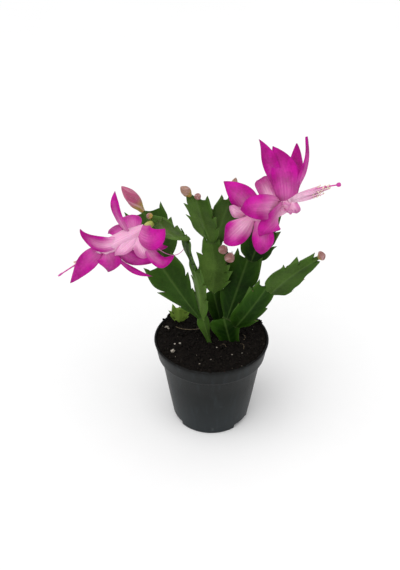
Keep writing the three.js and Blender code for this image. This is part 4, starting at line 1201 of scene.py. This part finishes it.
def outline_faces(edge):
    """Triangles inside an outline, with the depth of each of their points. A line that runs across
    from edge to edge gets a point in its middle, so that the two sides meet at the edge alone."""
    fill = fill_points(edge)
    for _ in range(CROSS_ROUNDS):
        flat = edge + [p for p, _ in fill]
        depths = [0.0] * len(edge) + [d for _, d in fill]
        spots, _, faces, origins, _, _ = geometry.delaunay_2d_cdt(
            flat, [], [range(len(edge))], 1, 1e-5
        )
        deep = [depths[origin[0]] if origin else 0.0 for origin in origins]
        lines = {}
        for face in faces:
            for a, b in zip(face, face[1:] + face[:1]):
                if not deep[a] and not deep[b]:
                    pair = (min(a, b), max(a, b))
                    lines[pair] = lines.get(pair, 0) + 1
        across = [pair for pair, times in sorted(lines.items()) if times > 1]
        middles = [(spots[a] + spots[b]) / 2 for a, b in across]
        if not middles:
            break
        fill = fill + [(p, max(min((p - q).length for q in edge), THIN)) for p in middles]
    return spots, faces, deep


def blade(shape, row, grown):
    """A flat toothed segment: thick at the midrib, rounded at the edge and a little wavy."""
    spots, faces, deep = outline_faces(segment_outline(row))
    phase = grown["line"](0).x
    points, growth, twin = [], [], {}
    used = sorted({k for face in faces for k in face})
    for k in used:
        along, y = spots[k]
        depth = deep[k]
        t = along / row["length"]
        u = min(max(y / segment_half(row, max(t, 0)), -1), 1)
        away = abs(y)
        rounding = math.sqrt(1 - (1 - min(depth / EDGE_ROUNDING, 1)) ** 2)
        ridge = RIDGE["height"] * math.exp(-((away / RIDGE["width"]) ** 2))
        flat = lerp(MIDRIB - RIDGE["height"], SEGMENT_EDGE, abs(u) ** 0.8)
        thick = (flat + ridge) * rounding / 2
        wave = BLADE_WAVE * math.sin(9 * t + phase + 2 * u) * u**2
        centre = grown["line"](t) + grown["across"] * y + grown["out"] * (row["fold"] * away + wave)
        place = (u, min(max(t, 0), 1), row["tint"])
        twin[k] = (len(points), len(points) + (1 if depth else 0))
        points.append(centre + grown["out"] * thick)
        growth.append(place)
        if depth:
            points.append(centre - grown["out"] * thick)
            growth.append(place)
    sheets = [tuple(twin[k][0] for k in face) for face in faces]
    sheets += [tuple(twin[k][1] for k in reversed(face)) for face in faces]
    shape.add(points, growth, sheets)


def areoles(row, grown):
    """Where bristles stand on a segment, the way they point and how many there are."""
    if row.get("bare"):
        return []
    found = [(grown["line"](1.0), grown["along"], BRISTLES_AT_END)]
    for sign, side in ((-1, "left"), (1, "right")):
        for tooth, size in zip(row[side], row[side + "_size"]):
            wide = envelope(row, tooth) * row["width"] / 2 - TOOTH["notch"] * size
            point = (grown["line"](tooth + 0.01) + grown["across"] * (sign * wide)
                     + grown["out"] * row["fold"] * wide)
            way = (grown["along"] + grown["across"] * sign).normalized()
            found.append((point, way, BRISTLES_IN_NOTCH))
    return found


def root_rings(row):
    """Level rings of the upright oval root that a stem stands on."""
    levels = ((SOIL_TOP - ROOT_DEPTH, 0.8), (SOIL_TOP - ROOT_DEPTH / 2, 1), (SOIL_TOP, 0.97))
    x, y = row["foot"]
    wide, deep = row["root"]
    spin = Matrix.Rotation(math.radians(row["turn"]), 3, "Z")
    rings = []
    for height, part in levels:
        oval = [Vector((math.cos(w) * wide * part, math.sin(w) * deep * part, 0))
                for w in around(ROOT_SIDES)]
        rings.append([Vector((x, y, height)) + spin @ p for p in oval])
    return rings


def grow_stem(rows):
    """All segments of one plant with its root and the bosses that carry its buds and blooms."""
    shape = Shape()
    for given in rows:
        row = {**SEGMENT_SHAPE, **given}
        start = Vector((*row["foot"], SURFACE)) if "foot" in row else place_on(row)
        grown = segment_frame(row, start)
        frames[row["name"]] = grown
        blade(shape, row, grown)
        if "foot" in row:
            rings = root_rings(row)
            shape.loft(rings, [[(0.5, 0, row["tint"])] * ROOT_SIDES for _ in rings])
    names = {row["name"] for row in rows}
    for row in [*BLOOMS.values(), *BUDS.values()]:
        if row["on"] in names:
            foot, direction, _, top = boss_at(row)
            line = Arc(foot - direction * BOSS_HEIGHT, foot, top)
            shape.rod(
                line, lambda part: BOSS_RADIUS * (1.05 - 0.22 * part**2), steps=8, sides=20, tint=0.6
            )
    return shape


# Blooms


def petal(shape, row, tube, rng):
    """One petal: a thin creased sheet on a bowed midrib, its sides curled back and its edge waved.
    ruffle says how much it waves, hook bends its tip, skew makes one side wider, and split cleaves
    the tip."""
    root = tube.point(row["at"])
    tip = root + Vector(row["reach"])
    midrib = Arc(root, root.lerp(tip, 0.5) + Vector(row["belly"]) * 2, tip)
    face = Vector(row["face"]).normalized()
    outline = PETAL_OUTLINES[row["kind"]]
    phase = rng.uniform(0, 6.28)
    ruffle = row.get("ruffle", 1) * rng.uniform(0.35, 0.6)
    hook = Vector(row.get("hook", (0, 0, 0)))
    skew, split = row.get("skew", 0), row.get("split", 0)
    upper, lower, place = [], [], []
    for i in range(PETAL_STEPS + 1):
        t = 1 - (1 - i / PETAL_STEPS) ** 1.25
        along = midrib.along(t)
        across = along.cross(face).normalized()
        out = across.cross(along)
        half = max(spread_on(outline, t) * row["width"] / 2, 0.1)
        thick = lerp(PETAL_ROOT, PETAL_TIP, t)
        top, under, marks = [], [], []
        for j in range(PETAL_COLUMNS):
            u = math.sin(math.pi * (j / (PETAL_COLUMNS - 1) - 0.5))
            side = abs(u)
            curl = PETAL_CURL * side**2 * half
            wave = ruffle * math.sin(8.5 * t + phase + 1.4 * u) * side**2.5 * smooth(0.1, 0.5, t)
            crease = math.sin(math.pi * min(t * 1.1, 1))
            groove = GROOVE["depth"] * math.exp(-((u * half / GROOVE["width"]) ** 2)) * crease
            groove += PLEATS * math.cos(3.2 * math.pi * u + phase) * crease * (1 - side**4)
            cleft = split * smooth(0.7, 1, t) * max(0, 1 - 2.5 * side)
            centre = midrib.point(t - cleft) + hook * smooth(0.62, 1, t) ** 1.5
            centre += across * (u * half * (1 + skew * u)) + out * (wave - curl - groove)
            depth = thick / 2 * math.sqrt(max(0.03, 1 - side**4))
            top.append(centre + out * depth)
            under.append(centre - out * depth)
            marks.append((u, t, row["pale"]))
        upper.append(top)
        lower.append(under)
        place.append(marks)
    shape.sheet(upper, lower, place)


def bloom_frame(bloom):
    """The line of a bloom's tube, its mouth and the way it opens."""
    _, direction, _, top = boss_at(bloom)
    start = top + direction * GAP
    given = bloom["tube"]
    tube = Arc(start, start + Vector(given["mid"]), start + Vector(given["mouth"]))
    return tube, tube.point(1), tube.along(1)


def tube_radius(radii, part):
    """Radius at a part of a tube's length, from its three radii."""
    narrow, middle, wide = radii
    return lerp(narrow, middle, part * 2) if part < 0.5 else lerp(middle, wide, part * 2 - 1)


def frills(tube, radius, count):
    """Small pale inner petals that stand round the mouth of a tube."""
    out = tube.along(0.95)
    a, b = crossing(out)
    rows = []
    for k, angle in enumerate(around(count)):
        aside = turned(a, b, angle)
        far = FRILL_SIZES[k % len(FRILL_SIZES)]
        rows.append({
            "at": 0.9, "reach": aside * (radius + 1.4 * far) + out * 3.6 * far,
            "belly": aside * 1.1, "width": 2.2 + 1.2 * far, "face": out, "kind": "wing",
            "pale": 1.45, "ruffle": 1.8, "split": 0.14 * (k % 2),
        })
    return rows


def corolla(side, bloom, finish, rng):
    """Tube and petals of one bloom, with the stray threads that hang from it."""
    tube, _, _ = bloom_frame(bloom)
    shape = Shape()
    start = (OVARY_LENGTH + 2 * GAP) / tube.length()
    radii = bloom["tube"]["radii"]
    rows, place = [], []
    for i in range(TUBE_STEPS + 1):
        part = i / TUBE_STEPS
        t = lerp(start, 1, part)
        a, b = crossing(tube.along(t))
        wide = tube_radius(radii, part) * (1 - 0.5 * smooth(0.9, 1, part) ** 2)
        turns = around(TUBE_SIDES)
        ribs = [1 + 0.035 * math.cos(6 * w + 3 * part) for w in turns]
        rows.append([tube.point(t) + turned(a, b, w) * wide * rib for w, rib in zip(turns, ribs)])
        place.append([(0.2 * math.cos(6 * w), 0.05 + 0.18 * part, 0.95) for w in turns])
    shape.loft(rows, place)
    for row in bloom["petals"] + frills(tube, radii[2], bloom.get("frills", 0)):
        petal(shape, row, tube, rng)
    for row in bloom.get("strays", []):
        root = tube.point(row["at"])
        line = Arc(root, root + Vector(row["bend"]), root + Vector(row["reach"]))
        shape.rod(line, lambda part: lerp(*STRAY_RADIUS, part), steps=26, sides=6, tint=1.2)
    shape.piece(f"petals_{side}", finish, "petal", f"bloom_{side}")


def ovary(side, bloom, finish):
    """The smooth ovary between the boss and the tube."""
    tube, _, _ = bloom_frame(bloom)
    start = tube.point(0)
    end = tube.point(OVARY_LENGTH / tube.length())
    shape = Shape()
    line = Arc(start, start.lerp(end, 0.5), end)
    shape.rod(line, lambda part: spread_on(OVARY_PROFILE, part), steps=18, sides=28)
    shape.piece(f"ovary_{side}", finish, "ovary", f"bloom_{side}_ovary")


def style(side, bloom, finish):
    """The style and its stigma of short lobes pressed together."""
    _, mouth, out = bloom_frame(bloom)
    line = Arc(mouth + out * GAP, mouth + out * THROAT_DEPTH, mouth + Vector(bloom["style"]))
    shape = Shape()
    shape.rod(line, lambda part: lerp(*STYLE_RADIUS, part), steps=30, sides=12)
    tip, along = line.point(1), line.along(1)
    a, b = crossing(along)
    apart, thick, long = bloom.get("lobes", LOBES)
    turn = along.to_track_quat("Z", "Y")
    shape.ball(tip - along * 0.1, (apart + 0.2, apart + 0.2, 0.75), tint=1, turn=turn)
    for k, angle in enumerate(around(LOBE_COUNT)):
        # Every other lobe stands a little further out.
        ahead = 0.25 + 0.25 * (k % 2) * (long - thick)
        at = tip + turned(a, b, angle) * apart + along * ahead
        shape.ball(at, (thick, thick, long), tint=1, turn=turn)
    shape.piece(f"style_{side}", finish, "style", f"bloom_{side}_style")


def stamens(side, bloom, threads, powder, rng):
    """Threads in a bundle round the style, with an anther at each tip."""
    _, mouth, out = bloom_frame(bloom)
    given = bloom["stamens"]
    ring = mouth + out * GAP
    a, b = crossing(out)
    shape, tips = Shape(), Shape()
    collar = Arc(ring, ring + out * RING["length"] / 2, ring + out * RING["length"])
    shape.rod(collar, lambda part: RING["radius"] * (1 - 0.4 * part**2), steps=8, sides=28)
    goal = mouth + Vector(given["reach"])
    for k in range(given["count"]):
        angle = 2 * math.pi * (k * 5 + rng.uniform(-0.4, 0.4)) / given["count"]
        aside = turned(a, b, angle)
        base = ring + out * rng.uniform(0.3, 1.8) + aside * (RING["radius"] - 0.35)
        part = rng.uniform(0.5, 1.0)
        wide = (given["spread"] - RING["radius"] + 0.4) * rng.uniform(0, 1)
        tip = base.lerp(goal, part) + aside * wide - UP * rng.uniform(0, 1.8)
        middle = base.lerp(tip, 0.5) + aside * rng.uniform(0.3, 0.9) + UP * rng.uniform(-0.4, 0.6)
        line = Arc(base, middle, tip)
        shape.rod(line, lambda p: lerp(*THREAD_RADIUS, p), steps=10, sides=6)
        nod = Vector([rng.uniform(-0.9, 0.9) for _ in range(3)])
        turn = (line.along(1) + nod).normalized().to_track_quat("Z", "Y")
        size = rng.uniform(0.85, 1.15)
        for lobe in (-ANTHER_APART, ANTHER_APART):
            at = tip + turn @ Vector((lobe * size, 0, 0.2))
            tips.ball(at, [half * size for half in ANTHER], turn=turn, rough=0.15, seed=k)
    tips.piece(f"anthers_{side}", powder, "stamens")
    shape.piece(f"stamens_{side}", threads, "stamens", f"bloom_{side}_stamens")


def bud(name, row, finish):
    """A closed bud of overlapping scales."""
    _, direction, height, top = boss_at(row)
    start = top + direction * GAP
    reach = direction * (Vector(row["reach"]).length - height - GAP)
    a, b = crossing(direction)
    rows, place = [], []
    for i in range(BUD_STEPS + 1):
        part = i / BUD_STEPS
        t = part + 0.02 * math.sin(2 * math.pi * part)
        middle = start + reach * t
        bend = a * (BUD_BEND * row["radius"] * math.sin(math.pi * part))
        girth = max(spread_on(BUD_PROFILE, t), 0.02) * row["radius"]
        ring, marks = [], []
        for angle in around(BUD_SIDES):
            # Scales wind up the bud, each lying over the next.
            turn = (angle / (2 * math.pi) * 3 + 1.1 * part) % 1
            lap = 0.09 * turn * smooth(0.08, 0.3, part) * (1 - 0.5 * part)
            corner = 0.05 * math.cos(3 * angle + 1.5) * smooth(0, 0.3, part)
            wide = girth * (0.93 + lap + corner)
            ring.append(middle + turned(a, b, angle) * wide + bend)
            marks.append((2 * turn - 1, part, row["ripe"]))
        rows.append(ring)
        place.append(marks)
    shape = Shape()
    shape.loft(rows, place)
    shape.piece("shown_" + name, finish, "bud", name)


# Settings


def colour(words, default):
    """A colour that a user can change."""
    return FloatVectorProperty(
        name=words, description=words, subtype="COLOR", size=3, min=0, max=1, default=default
    )


class CactusLook(bpy.types.PropertyGroup):
    """Colours of the pot, the soil, the stems and the flowers."""

    plastic: colour("Pot plastic", (0.0085, 0.0098, 0.0098))
    plastic_pale: colour("Pot streaks", (0.028, 0.036, 0.041))
    plastic_scuff: colour("Pot scuffs", (0.25, 0.27, 0.28))
    soil_dark: colour("Soil", (0.0033, 0.0027, 0.0024))
    soil_light: colour("Soil grains", (0.009, 0.0068, 0.0054))
    soil_speck: colour("Soil specks", (0.22, 0.19, 0.15))
    leaf_dark: colour("Dark segment", (0.0035, 0.0165, 0.0005))
    leaf_light: colour("Light segment", (0.072, 0.13, 0.024))
    leaf_fresh: colour("Segment end", (0.038, 0.105, 0.007))
    # Also the colour of the painted highlight along a segment's rim.
    leaf_rib_and_rim_highlight: colour("Segment rim and midrib", (0.11, 0.19, 0.045))
    leaf_joint: colour("Segment joint", (0.2, 0.24, 0.09))
    shoot: colour("Young shoot", (0.2, 0.32, 0.05))
    petal_deep: colour("Petal shade", (0.31, 0.001, 0.165))
    petal_bright: colour("Petal", (0.56, 0.006, 0.33))
    petal_pale: colour("Petal root", (0.86, 0.45, 0.65))
    petal_rim: colour("Petal rim", (0.24, 0.002, 0.13))
    bud_foot: colour("Bud foot", (0.42, 0.3, 0.02))
    bud_young: colour("Young bud", (0.4, 0.27, 0.16))
    bud_brown: colour("Half ripe bud", (0.32, 0.15, 0.12))
    bud_pink: colour("Ripe bud", (0.56, 0.08, 0.23))
    # Partly the colour of a painted highlight.
    bud_stripe_and_highlight: colour("Bud stripe", (0.78, 0.5, 0.56))
    # The colour of painted shade at the edges of a bud's scales.
    bud_seam_shade: colour("Bud seam", (0.16, 0.05, 0.06))
    ovary_foot: colour("Ovary foot", (0.3, 0.33, 0.05))
    ovary_top: colour("Ovary top", (0.5, 0.48, 0.14))
    thread_foot: colour("Stamen foot", (0.84, 0.5, 0.66))
    thread_top: colour("Stamen top", (0.84, 0.44, 0.64))
    anther_dark: colour("Anther shade", (0.75, 0.55, 0.42))
    anther_light: colour("Anther", (0.86, 0.74, 0.62))
    style_foot: colour("Style", (0.6, 0.05, 0.36))
    style_top: colour("Stigma", (0.58, 0.03, 0.32))
    bristle_dark: colour("Bristle shade", (0.09, 0.045, 0.02))
    bristle_light: colour("Bristle", (0.3, 0.2, 0.1))
    perlite_dark: colour("Perlite shade", (0.2, 0.175, 0.14))
    perlite_light: colour("Perlite", (0.5, 0.46, 0.4))
    root_dark: colour("Dry root shade", (0.07, 0.05, 0.028))
    root_light: colour("Dry root", (0.17, 0.13, 0.08))


class CactusSizes(bpy.types.PropertyGroup):
    """Sizes and numbers of the small things."""

    crumbs: IntProperty(name="Crumbs", description="Crumbs of soil", default=1500, min=0)
    specks: IntProperty(name="Specks", description="Light specks in the soil", default=70, min=0)
    rim_crumbs: IntProperty(name="Rim crumbs", description="Crumbs on the pot's rim", default=26,
                            min=0)
    foot_crumbs: IntProperty(name="Foot crumbs", description="Crumbs heaped round each stem",
                             default=60, min=0)
    bristle: FloatProperty(name="Bristle", description="Length of a bristle in millimetres",
                           default=1.3, min=0.1)
    seed: IntProperty(name="Seed", description="Start of the random draws", default=7)


class CactusStage(bpy.types.PropertyGroup):
    """Floor, lights and camera."""

    floor: colour("Floor", (0.9, 0.9, 0.9))
    world: FloatProperty(name="World", description="Strength of the light all round",
                         default=0.6)
    key: FloatProperty(name="Key", description="Strength of the soft light from above",
                       default=1.9)
    softness: FloatProperty(name="Softness", description="Width of the soft light in the sky",
                            subtype="ANGLE", unit="ROTATION", default=math.radians(70))
    fill: FloatProperty(name="Fill", description="Power of the second light", subtype="POWER",
                        unit="POWER", default=0.5)
    eye: FloatVectorProperty(name="Eye", description="Place of the camera", subtype="XYZ",
                             unit="LENGTH", size=3, default=(0, -0.319, 0.2913))
    tilt: FloatProperty(name="Tilt", description="How far the camera looks down", subtype="ANGLE",
                        unit="ROTATION", default=math.radians(33.25))
    pan: FloatProperty(name="Pan", description="Turn of the camera to the left", subtype="ANGLE",
                       unit="ROTATION", default=math.radians(1.08))
    lens: FloatProperty(name="Lens", description="Focal length in millimetres", default=48.06)


# Operators


class CactusBuild(bpy.types.Operator):
    """Base of the operators that make a piece."""

    bl_idname = "cactus.build_base"
    bl_label = "Cactus Piece"
    bl_options = {"REGISTER", "UNDO"}

    @property
    def look(self):
        return bpy.context.scene.cactus_look

    @property
    def sizes(self):
        return bpy.context.scene.cactus_sizes


class CACTUS_OT_pot(CactusBuild):
    """Turn the nursery pot, with the cut-outs in its foot and its drain holes"""

    bl_idname = "cactus.pot"
    bl_label = "Pot"

    def execute(self, context):
        profile = pot_profile()
        last = len(profile) - 1
        rows = [level_ring(max(radius, 0.01), height, POT_SIDES) for radius, height in profile]
        shape = Shape()
        shape.loft(rows, [[(0, i / last, 0)] * POT_SIDES for i in range(last + 1)])
        pot = shape.piece("nursery_pot", pot_material(self.look), "pot", "pot")
        depth = BODY_FOOT_RADIUS - NOTCH["inner"] + WALL
        middle = (NOTCH["inner"] + depth / 2, 0, 0)
        cutters = [block((depth, NOTCH["width"], 2 * NOTCH["height"]), middle, bearing)
                   for bearing in NOTCH["bearings"]]
        for k in range(DRAIN["holes"]):
            angle = math.radians(DRAIN["start"] + 360 * k / DRAIN["holes"])
            x, y = DRAIN["circle"] * math.cos(angle), DRAIN["circle"] * math.sin(angle)
            cutters.append(drill(DRAIN["radius"], x, y, -FLOOR, 2 * FLOOR))
        cut(pot, cutters)
        pot.data.shade_smooth()
        pot.data.set_sharp_from_angle(angle=math.radians(SHARP_ANGLE))
        return {"FINISHED"}


class CACTUS_OT_soil(CactusBuild):
    """Fill the pot with crumbly soil, up to the stems"""

    bl_idname = "cactus.soil"
    bl_label = "Soil"

    def execute(self, context):
        edge = RIM_RADIUS - LIP_WIDTH - GAP
        rows = []
        for i in range(1, SOIL_RINGS + 1):
            r = edge * i / SOIL_RINGS
            spots = [(r * math.cos(w), r * math.sin(w)) for w in around(SOIL_SIDES)]
            rows.append([on_soil(x, y, 0) for x, y in spots])
        collar_foot = POT_HEIGHT - COLLAR_HEIGHT
        wall = (
            (COLLAR_FOOT_RADIUS - WALL - GAP, collar_foot + EDGE + GAP),
            (BODY_TOP_RADIUS - WALL - GAP, collar_foot - EDGE + GAP),
            (BODY_FOOT_RADIUS - WALL - GAP, FLOOR + EDGE + GAP),
            (BODY_FOOT_RADIUS - WALL - EDGE - GAP, FLOOR + GAP),
        )
        rows += [level_ring(radius, height, SOIL_SIDES) for radius, height in wall]
        shape = Shape()
        shape.loft(rows, [[(0, 0, 0)] * SOIL_SIDES for _ in rows])
        finish = soil_material(self.look)
        shape.piece("potting_soil", finish, "soil", "soil")
        self.crumbs(finish)
        self.perlite()
        self.roots()
        return {"FINISHED"}

    def crumbs(self, finish):
        """Loose crumbs all over the soil, on the rim and heaped round the stems."""
        rng = random.Random(self.sizes.seed)
        shape = Shape()
        self.crumbs_all_over(shape, rng)
        self.crumbs_on_rim(shape, rng)
        self.crumbs_by_stems(shape, rng)
        shape.piece("soil_crumbs", finish, "soil")

    def crumbs_all_over(self, shape, rng):
        """Crumbs of many sizes, with light specks among them."""
        for k in range(self.sizes.crumbs + self.sizes.specks):
            speck = k >= self.sizes.crumbs
            r = (RIM_RADIUS - LIP_WIDTH - CRUMB_ROOM) * math.sqrt(rng.random())
            w = rng.uniform(0, 2 * math.pi)
            size = rng.uniform(*SPECK_SIZES) if speck else lerp(*CRUMB_SIZES, rng.random() ** 3)
            spin = Quaternion([rng.random() for _ in range(4)]).normalized()
            tint = rng.uniform(0.35, 0.9) if speck else rng.uniform(0, 0.03)
            sizes = uneven(rng, size, most=1.15)
            at = on_soil(r * math.cos(w), r * math.sin(w), size * 0.3)
            shape.ball(at, sizes, tint=tint, turn=spin, fine=1, rough=0.7, seed=k)

    def crumbs_on_rim(self, shape, rng):
        """Crumbs on the pot's rim, most of them in its two heaps."""
        for k in range(self.sizes.rim_crumbs):
            bearing = rng.choice((*RIM_HEAPS, rng.uniform(0, 360)))
            w = math.radians(bearing + rng.gauss(0, HEAP_SPREAD))
            r = RIM_RADIUS - rng.uniform(0.2, 1.1)
            size = rng.uniform(*RIM_CRUMB_SIZES)
            at = Vector((r * math.cos(w), r * math.sin(w), POT_HEIGHT + size * 0.5))
            shape.ball(at, uneven(rng, size), rough=0.8, seed=k + 0.5)

    def crumbs_by_stems(self, shape, rng):
        """Crumbs round the foot of each stem."""
        for rows in PLANTS.values():
            foot, root = rows[0]["foot"], rows[0]["root"]
            for k in range(self.sizes.foot_crumbs):
                w, away = rng.uniform(0, 2 * math.pi), rng.uniform(0.2, 1.6)
                x = foot[0] + (root[0] + away) * math.cos(w)
                y = foot[1] + (root[1] + away) * math.sin(w)
                size = rng.uniform(*FOOT_CRUMB_SIZES) * (1.2 - 0.4 * away)
                at = on_soil(x, y, size * 0.35)
                shape.ball(at, uneven(rng, size), fine=1, rough=0.8, seed=k + 0.25)

    def perlite(self):
        """The pale grains and dots that lie on the soil."""
        shape = Shape()
        for k, (x, y, size) in enumerate(PERLITE):
            at = on_soil(x, y, size * 0.45)
            shape.ball(at, (size, size * 0.85, size * 0.7), fine=3, rough=0.6, seed=k * 3.1)
        look = self.look
        finish = plain_grain_material("perlite", look.perlite_dark, look.perlite_light, 0.85)
        shape.piece("perlite", finish, "soil")

    def roots(self):
        """Thin dry roots on the soil."""
        shape = Shape()
        for a, b, c, arch, radius in DRY_ROOTS:
            line = Arc(on_soil(*a, 0.25), on_soil(*b, 0.3 + arch), on_soil(*c, 0.25))
            shape.rod(line, radius, steps=26, sides=8)
        finish = plain_grain_material("dry root", self.look.root_dark, self.look.root_light, 0.7)
        shape.piece("dry_roots", finish, "soil")


class CACTUS_OT_stems(CactusBuild):
    """Grow the three plants and the young shoot, segment by segment"""

    bl_idname = "cactus.stems"
    bl_label = "Stems"

    def execute(self, context):
        green = leaf_material("segment", self.look)
        young = leaf_material("young segment", self.look)
        self.freshen(young)
        for name, rows in PLANTS.items():
            finish, slot = (young, "young_stem") if name == "stem_young" else (green, "stem")
            grow_stem(rows).piece("shown_" + name, finish, slot, name)
        return {"FINISHED"}

    def freshen(self, finish):
        """Turns a segment's green to the yellow green of a new shoot."""
        tree = finish.node_tree
        shader = tree.nodes["Principled BSDF"]
        old = shader.inputs["Base Color"].links[0].from_socket
        new = blend(tree, 0.72, old, self.look.shoot)
        tree.links.new(new, shader.inputs["Base Color"])


class CACTUS_OT_bristles(CactusBuild):
    """Set fine bristles in the notches and ends of the segments"""

    bl_idname = "cactus.bristles"
    bl_label = "Bristles"

    def execute(self, context):
        rng = random.Random(self.sizes.seed + 1)
        look = self.look
        finish = plain_grain_material(
            "bristle", look.bristle_dark, look.bristle_light, 0.6, height=0.00005
        )
        for name, rows in PLANTS.items():
            shape = Shape()
            for given in rows:
                row = {**SEGMENT_SHAPE, **given}
                for point, way, count in areoles(row, frames[row["name"]]):
                    self.tuft(shape, point, way, count, rng)
            shape.piece("bristles_" + name.removeprefix("stem_"), finish, "stem")
        return {"FINISHED"}

    def tuft(self, shape, point, way, count, rng):
        """A few thin bristles that spread from one point."""
        for _ in range(count):
            aside = Vector([rng.uniform(-0.5, 0.5) for _ in range(3)])
            length = self.sizes.bristle * rng.uniform(0.5, 1.1)
            tip = point + (way + aside).normalized() * length
            line = Arc(point - way * 0.3, point.lerp(tip, 0.5) + aside * 0.15, tip)
            shape.rod(line, lambda part: lerp(*BRISTLE_RADIUS, part), steps=4, sides=5)


class CACTUS_OT_blooms(CactusBuild):
    """Open the two blooms: tube, petals, ovary, stamens and style"""

    bl_idname = "cactus.blooms"
    bl_label = "Blooms"

    def execute(self, context):
        rng = random.Random(self.sizes.seed + 2)
        look = self.look
        petals = petal_material(look)
        green = tissue_material("ovary", look.ovary_foot, look.ovary_top)
        threads = tissue_material("stamen threads", look.thread_foot, look.thread_top)
        powder = tissue_material("anthers", look.anther_dark, look.anther_light, roughness=0.7)
        pink = tissue_material("style", look.style_foot, look.style_top, roughness=0.35)
        for side, bloom in BLOOMS.items():
            corolla(side, bloom, petals, rng)
            ovary(side, bloom, green)
            stamens(side, bloom, threads, powder, rng)
            style(side, bloom, pink)
        return {"FINISHED"}


class CACTUS_OT_buds(CactusBuild):
    """Set the closed buds on their bosses"""

    bl_idname = "cactus.buds"
    bl_label = "Buds"

    def execute(self, context):
        finish = bud_material(self.look)
        for name, row in BUDS.items():
            bud(name, row, finish)
        return {"FINISHED"}


class CACTUS_OT_stage(CactusBuild):
    """Lay the pale floor and set the lights and the camera"""

    bl_idname = "cactus.stage"
    bl_label = "Stage"

    def execute(self, context):
        given = context.scene.cactus_stage
        floor = self.floor(given)
        self.sky(given)
        self.light("key", "SUN", given.key, -KEY_FROM, angle=given.softness)
        aim = FILL_AIM - FILL_PLACE
        lamp = self.light("fill", "AREA", given.fill, aim, shape="DISK", size=FILL_WIDTH)
        lamp.location = FILL_PLACE
        self.camera(given)
        context.scene.view_settings.view_transform = "Standard"
        return {"FINISHED"}

    def floor(self, given):
        """The level floor, slightly mottled."""
        mesh = bpy.data.meshes.new("floor")
        signs = ((-1, -1), (1, -1), (1, 1), (-1, 1))
        corners = [(x * FLOOR_HALF, y * FLOOR_HALF, 0) for x, y in signs]
        mesh.from_pydata(corners, [], [(0, 1, 2, 3)])
        finish, tree, shader = new_material("floor", Roughness=0.9, Specular_IOR_Level=0.1)
        tone = mottled(tree, shade(given.floor, 0.985), given.floor, 6.0, 60.0)
        tree.links.new(tone, shader.inputs["Base Color"])
        mesh.materials.append(finish)
        return put("floor", mesh)

    def sky(self, given):
        """Even light all round. Seen straight on, it is as white as the floor that it meets."""
        world = bpy.data.worlds.new("studio")
        world.use_nodes = True
        tree = world.node_tree
        air = tree.nodes["Background"]
        air.inputs["Color"].default_value = (1, 1, 1, 1)
        air.inputs["Strength"].default_value = given.world
        seen = add_node(tree, "Background", {"Color": (1, 1, 1, 1), "Strength": 1.0})
        rays = add_node(tree, "LightPath")
        inputs = {0: rays.outputs["Is Camera Ray"], 1: air.outputs[0], 2: seen.outputs[0]}
        mixed = add_node(tree, "MixShader", inputs)
        tree.links.new(mixed.outputs[0], tree.nodes["World Output"].inputs["Surface"])
        bpy.context.scene.world = world

    def light(self, name, kind, strength, way, **values):
        """A light that shines the given way."""
        data = bpy.data.lights.new(name, kind)
        data.energy = strength
        for key, value in values.items():
            setattr(data, key, value)
        made = put(name, data)
        made.rotation_euler = way.to_track_quat("-Z", "Y").to_euler()
        return made

    def camera(self, given):
        """The camera, where the photograph was taken from."""
        lens = bpy.data.cameras.new("camera")
        lens.lens = given.lens
        lens.clip_start = 0.01
        made = put("camera", lens)
        made.location = given.eye
        made.rotation_euler = (math.pi / 2 - given.tilt, 0, given.pan)
        bpy.context.scene.camera = made


OPERATORS = (
    CACTUS_OT_pot, CACTUS_OT_soil, CACTUS_OT_stems, CACTUS_OT_bristles, CACTUS_OT_blooms,
    CACTUS_OT_buds, CACTUS_OT_stage,
)


class CACTUS_PT_panel(bpy.types.Panel):
    """Sidebar panel that lists the pieces and their settings."""

    bl_idname = "CACTUS_PT_panel"
    bl_label = "Christmas Cactus"
    bl_space_type = "VIEW_3D"
    bl_region_type = "UI"
    bl_category = "Cactus"

    def draw(self, context):
        column = self.layout.column(align=True)
        for operator in OPERATORS:
            column.operator(operator.bl_idname)
        for name in ("cactus_look", "cactus_sizes", "cactus_stage"):
            group = getattr(context.scene, name)
            box = self.layout.box()
            for key in group.bl_rna.properties.keys():
                if key not in ("rna_type", "name"):
                    box.prop(group, key)


GROUPS = {
    "cactus_look": CactusLook,
    "cactus_sizes": CactusSizes,
    "cactus_stage": CactusStage,
}


def register():
    """Makes the settings, the operators and the panel known to Blender."""
    for cls in (*GROUPS.values(), *OPERATORS, CACTUS_PT_panel):
        bpy.utils.register_class(cls)
    for name, cls in GROUPS.items():
        setattr(bpy.types.Scene, name, PointerProperty(type=cls))


def unregister():
    """Takes them away again."""
    for name in GROUPS:
        delattr(bpy.types.Scene, name)
    for cls in reversed((*GROUPS.values(), *OPERATORS, CACTUS_PT_panel)):
        bpy.utils.unregister_class(cls)


def main():
    """Builds every piece and the stage."""
    register()
    bpy.ops.cactus.pot()
    bpy.ops.cactus.soil()
    bpy.ops.cactus.stems()
    bpy.ops.cactus.bristles()
    bpy.ops.cactus.blooms()
    bpy.ops.cactus.buds()
    bpy.ops.cactus.stage()


if __name__ == "__main__":
    main()
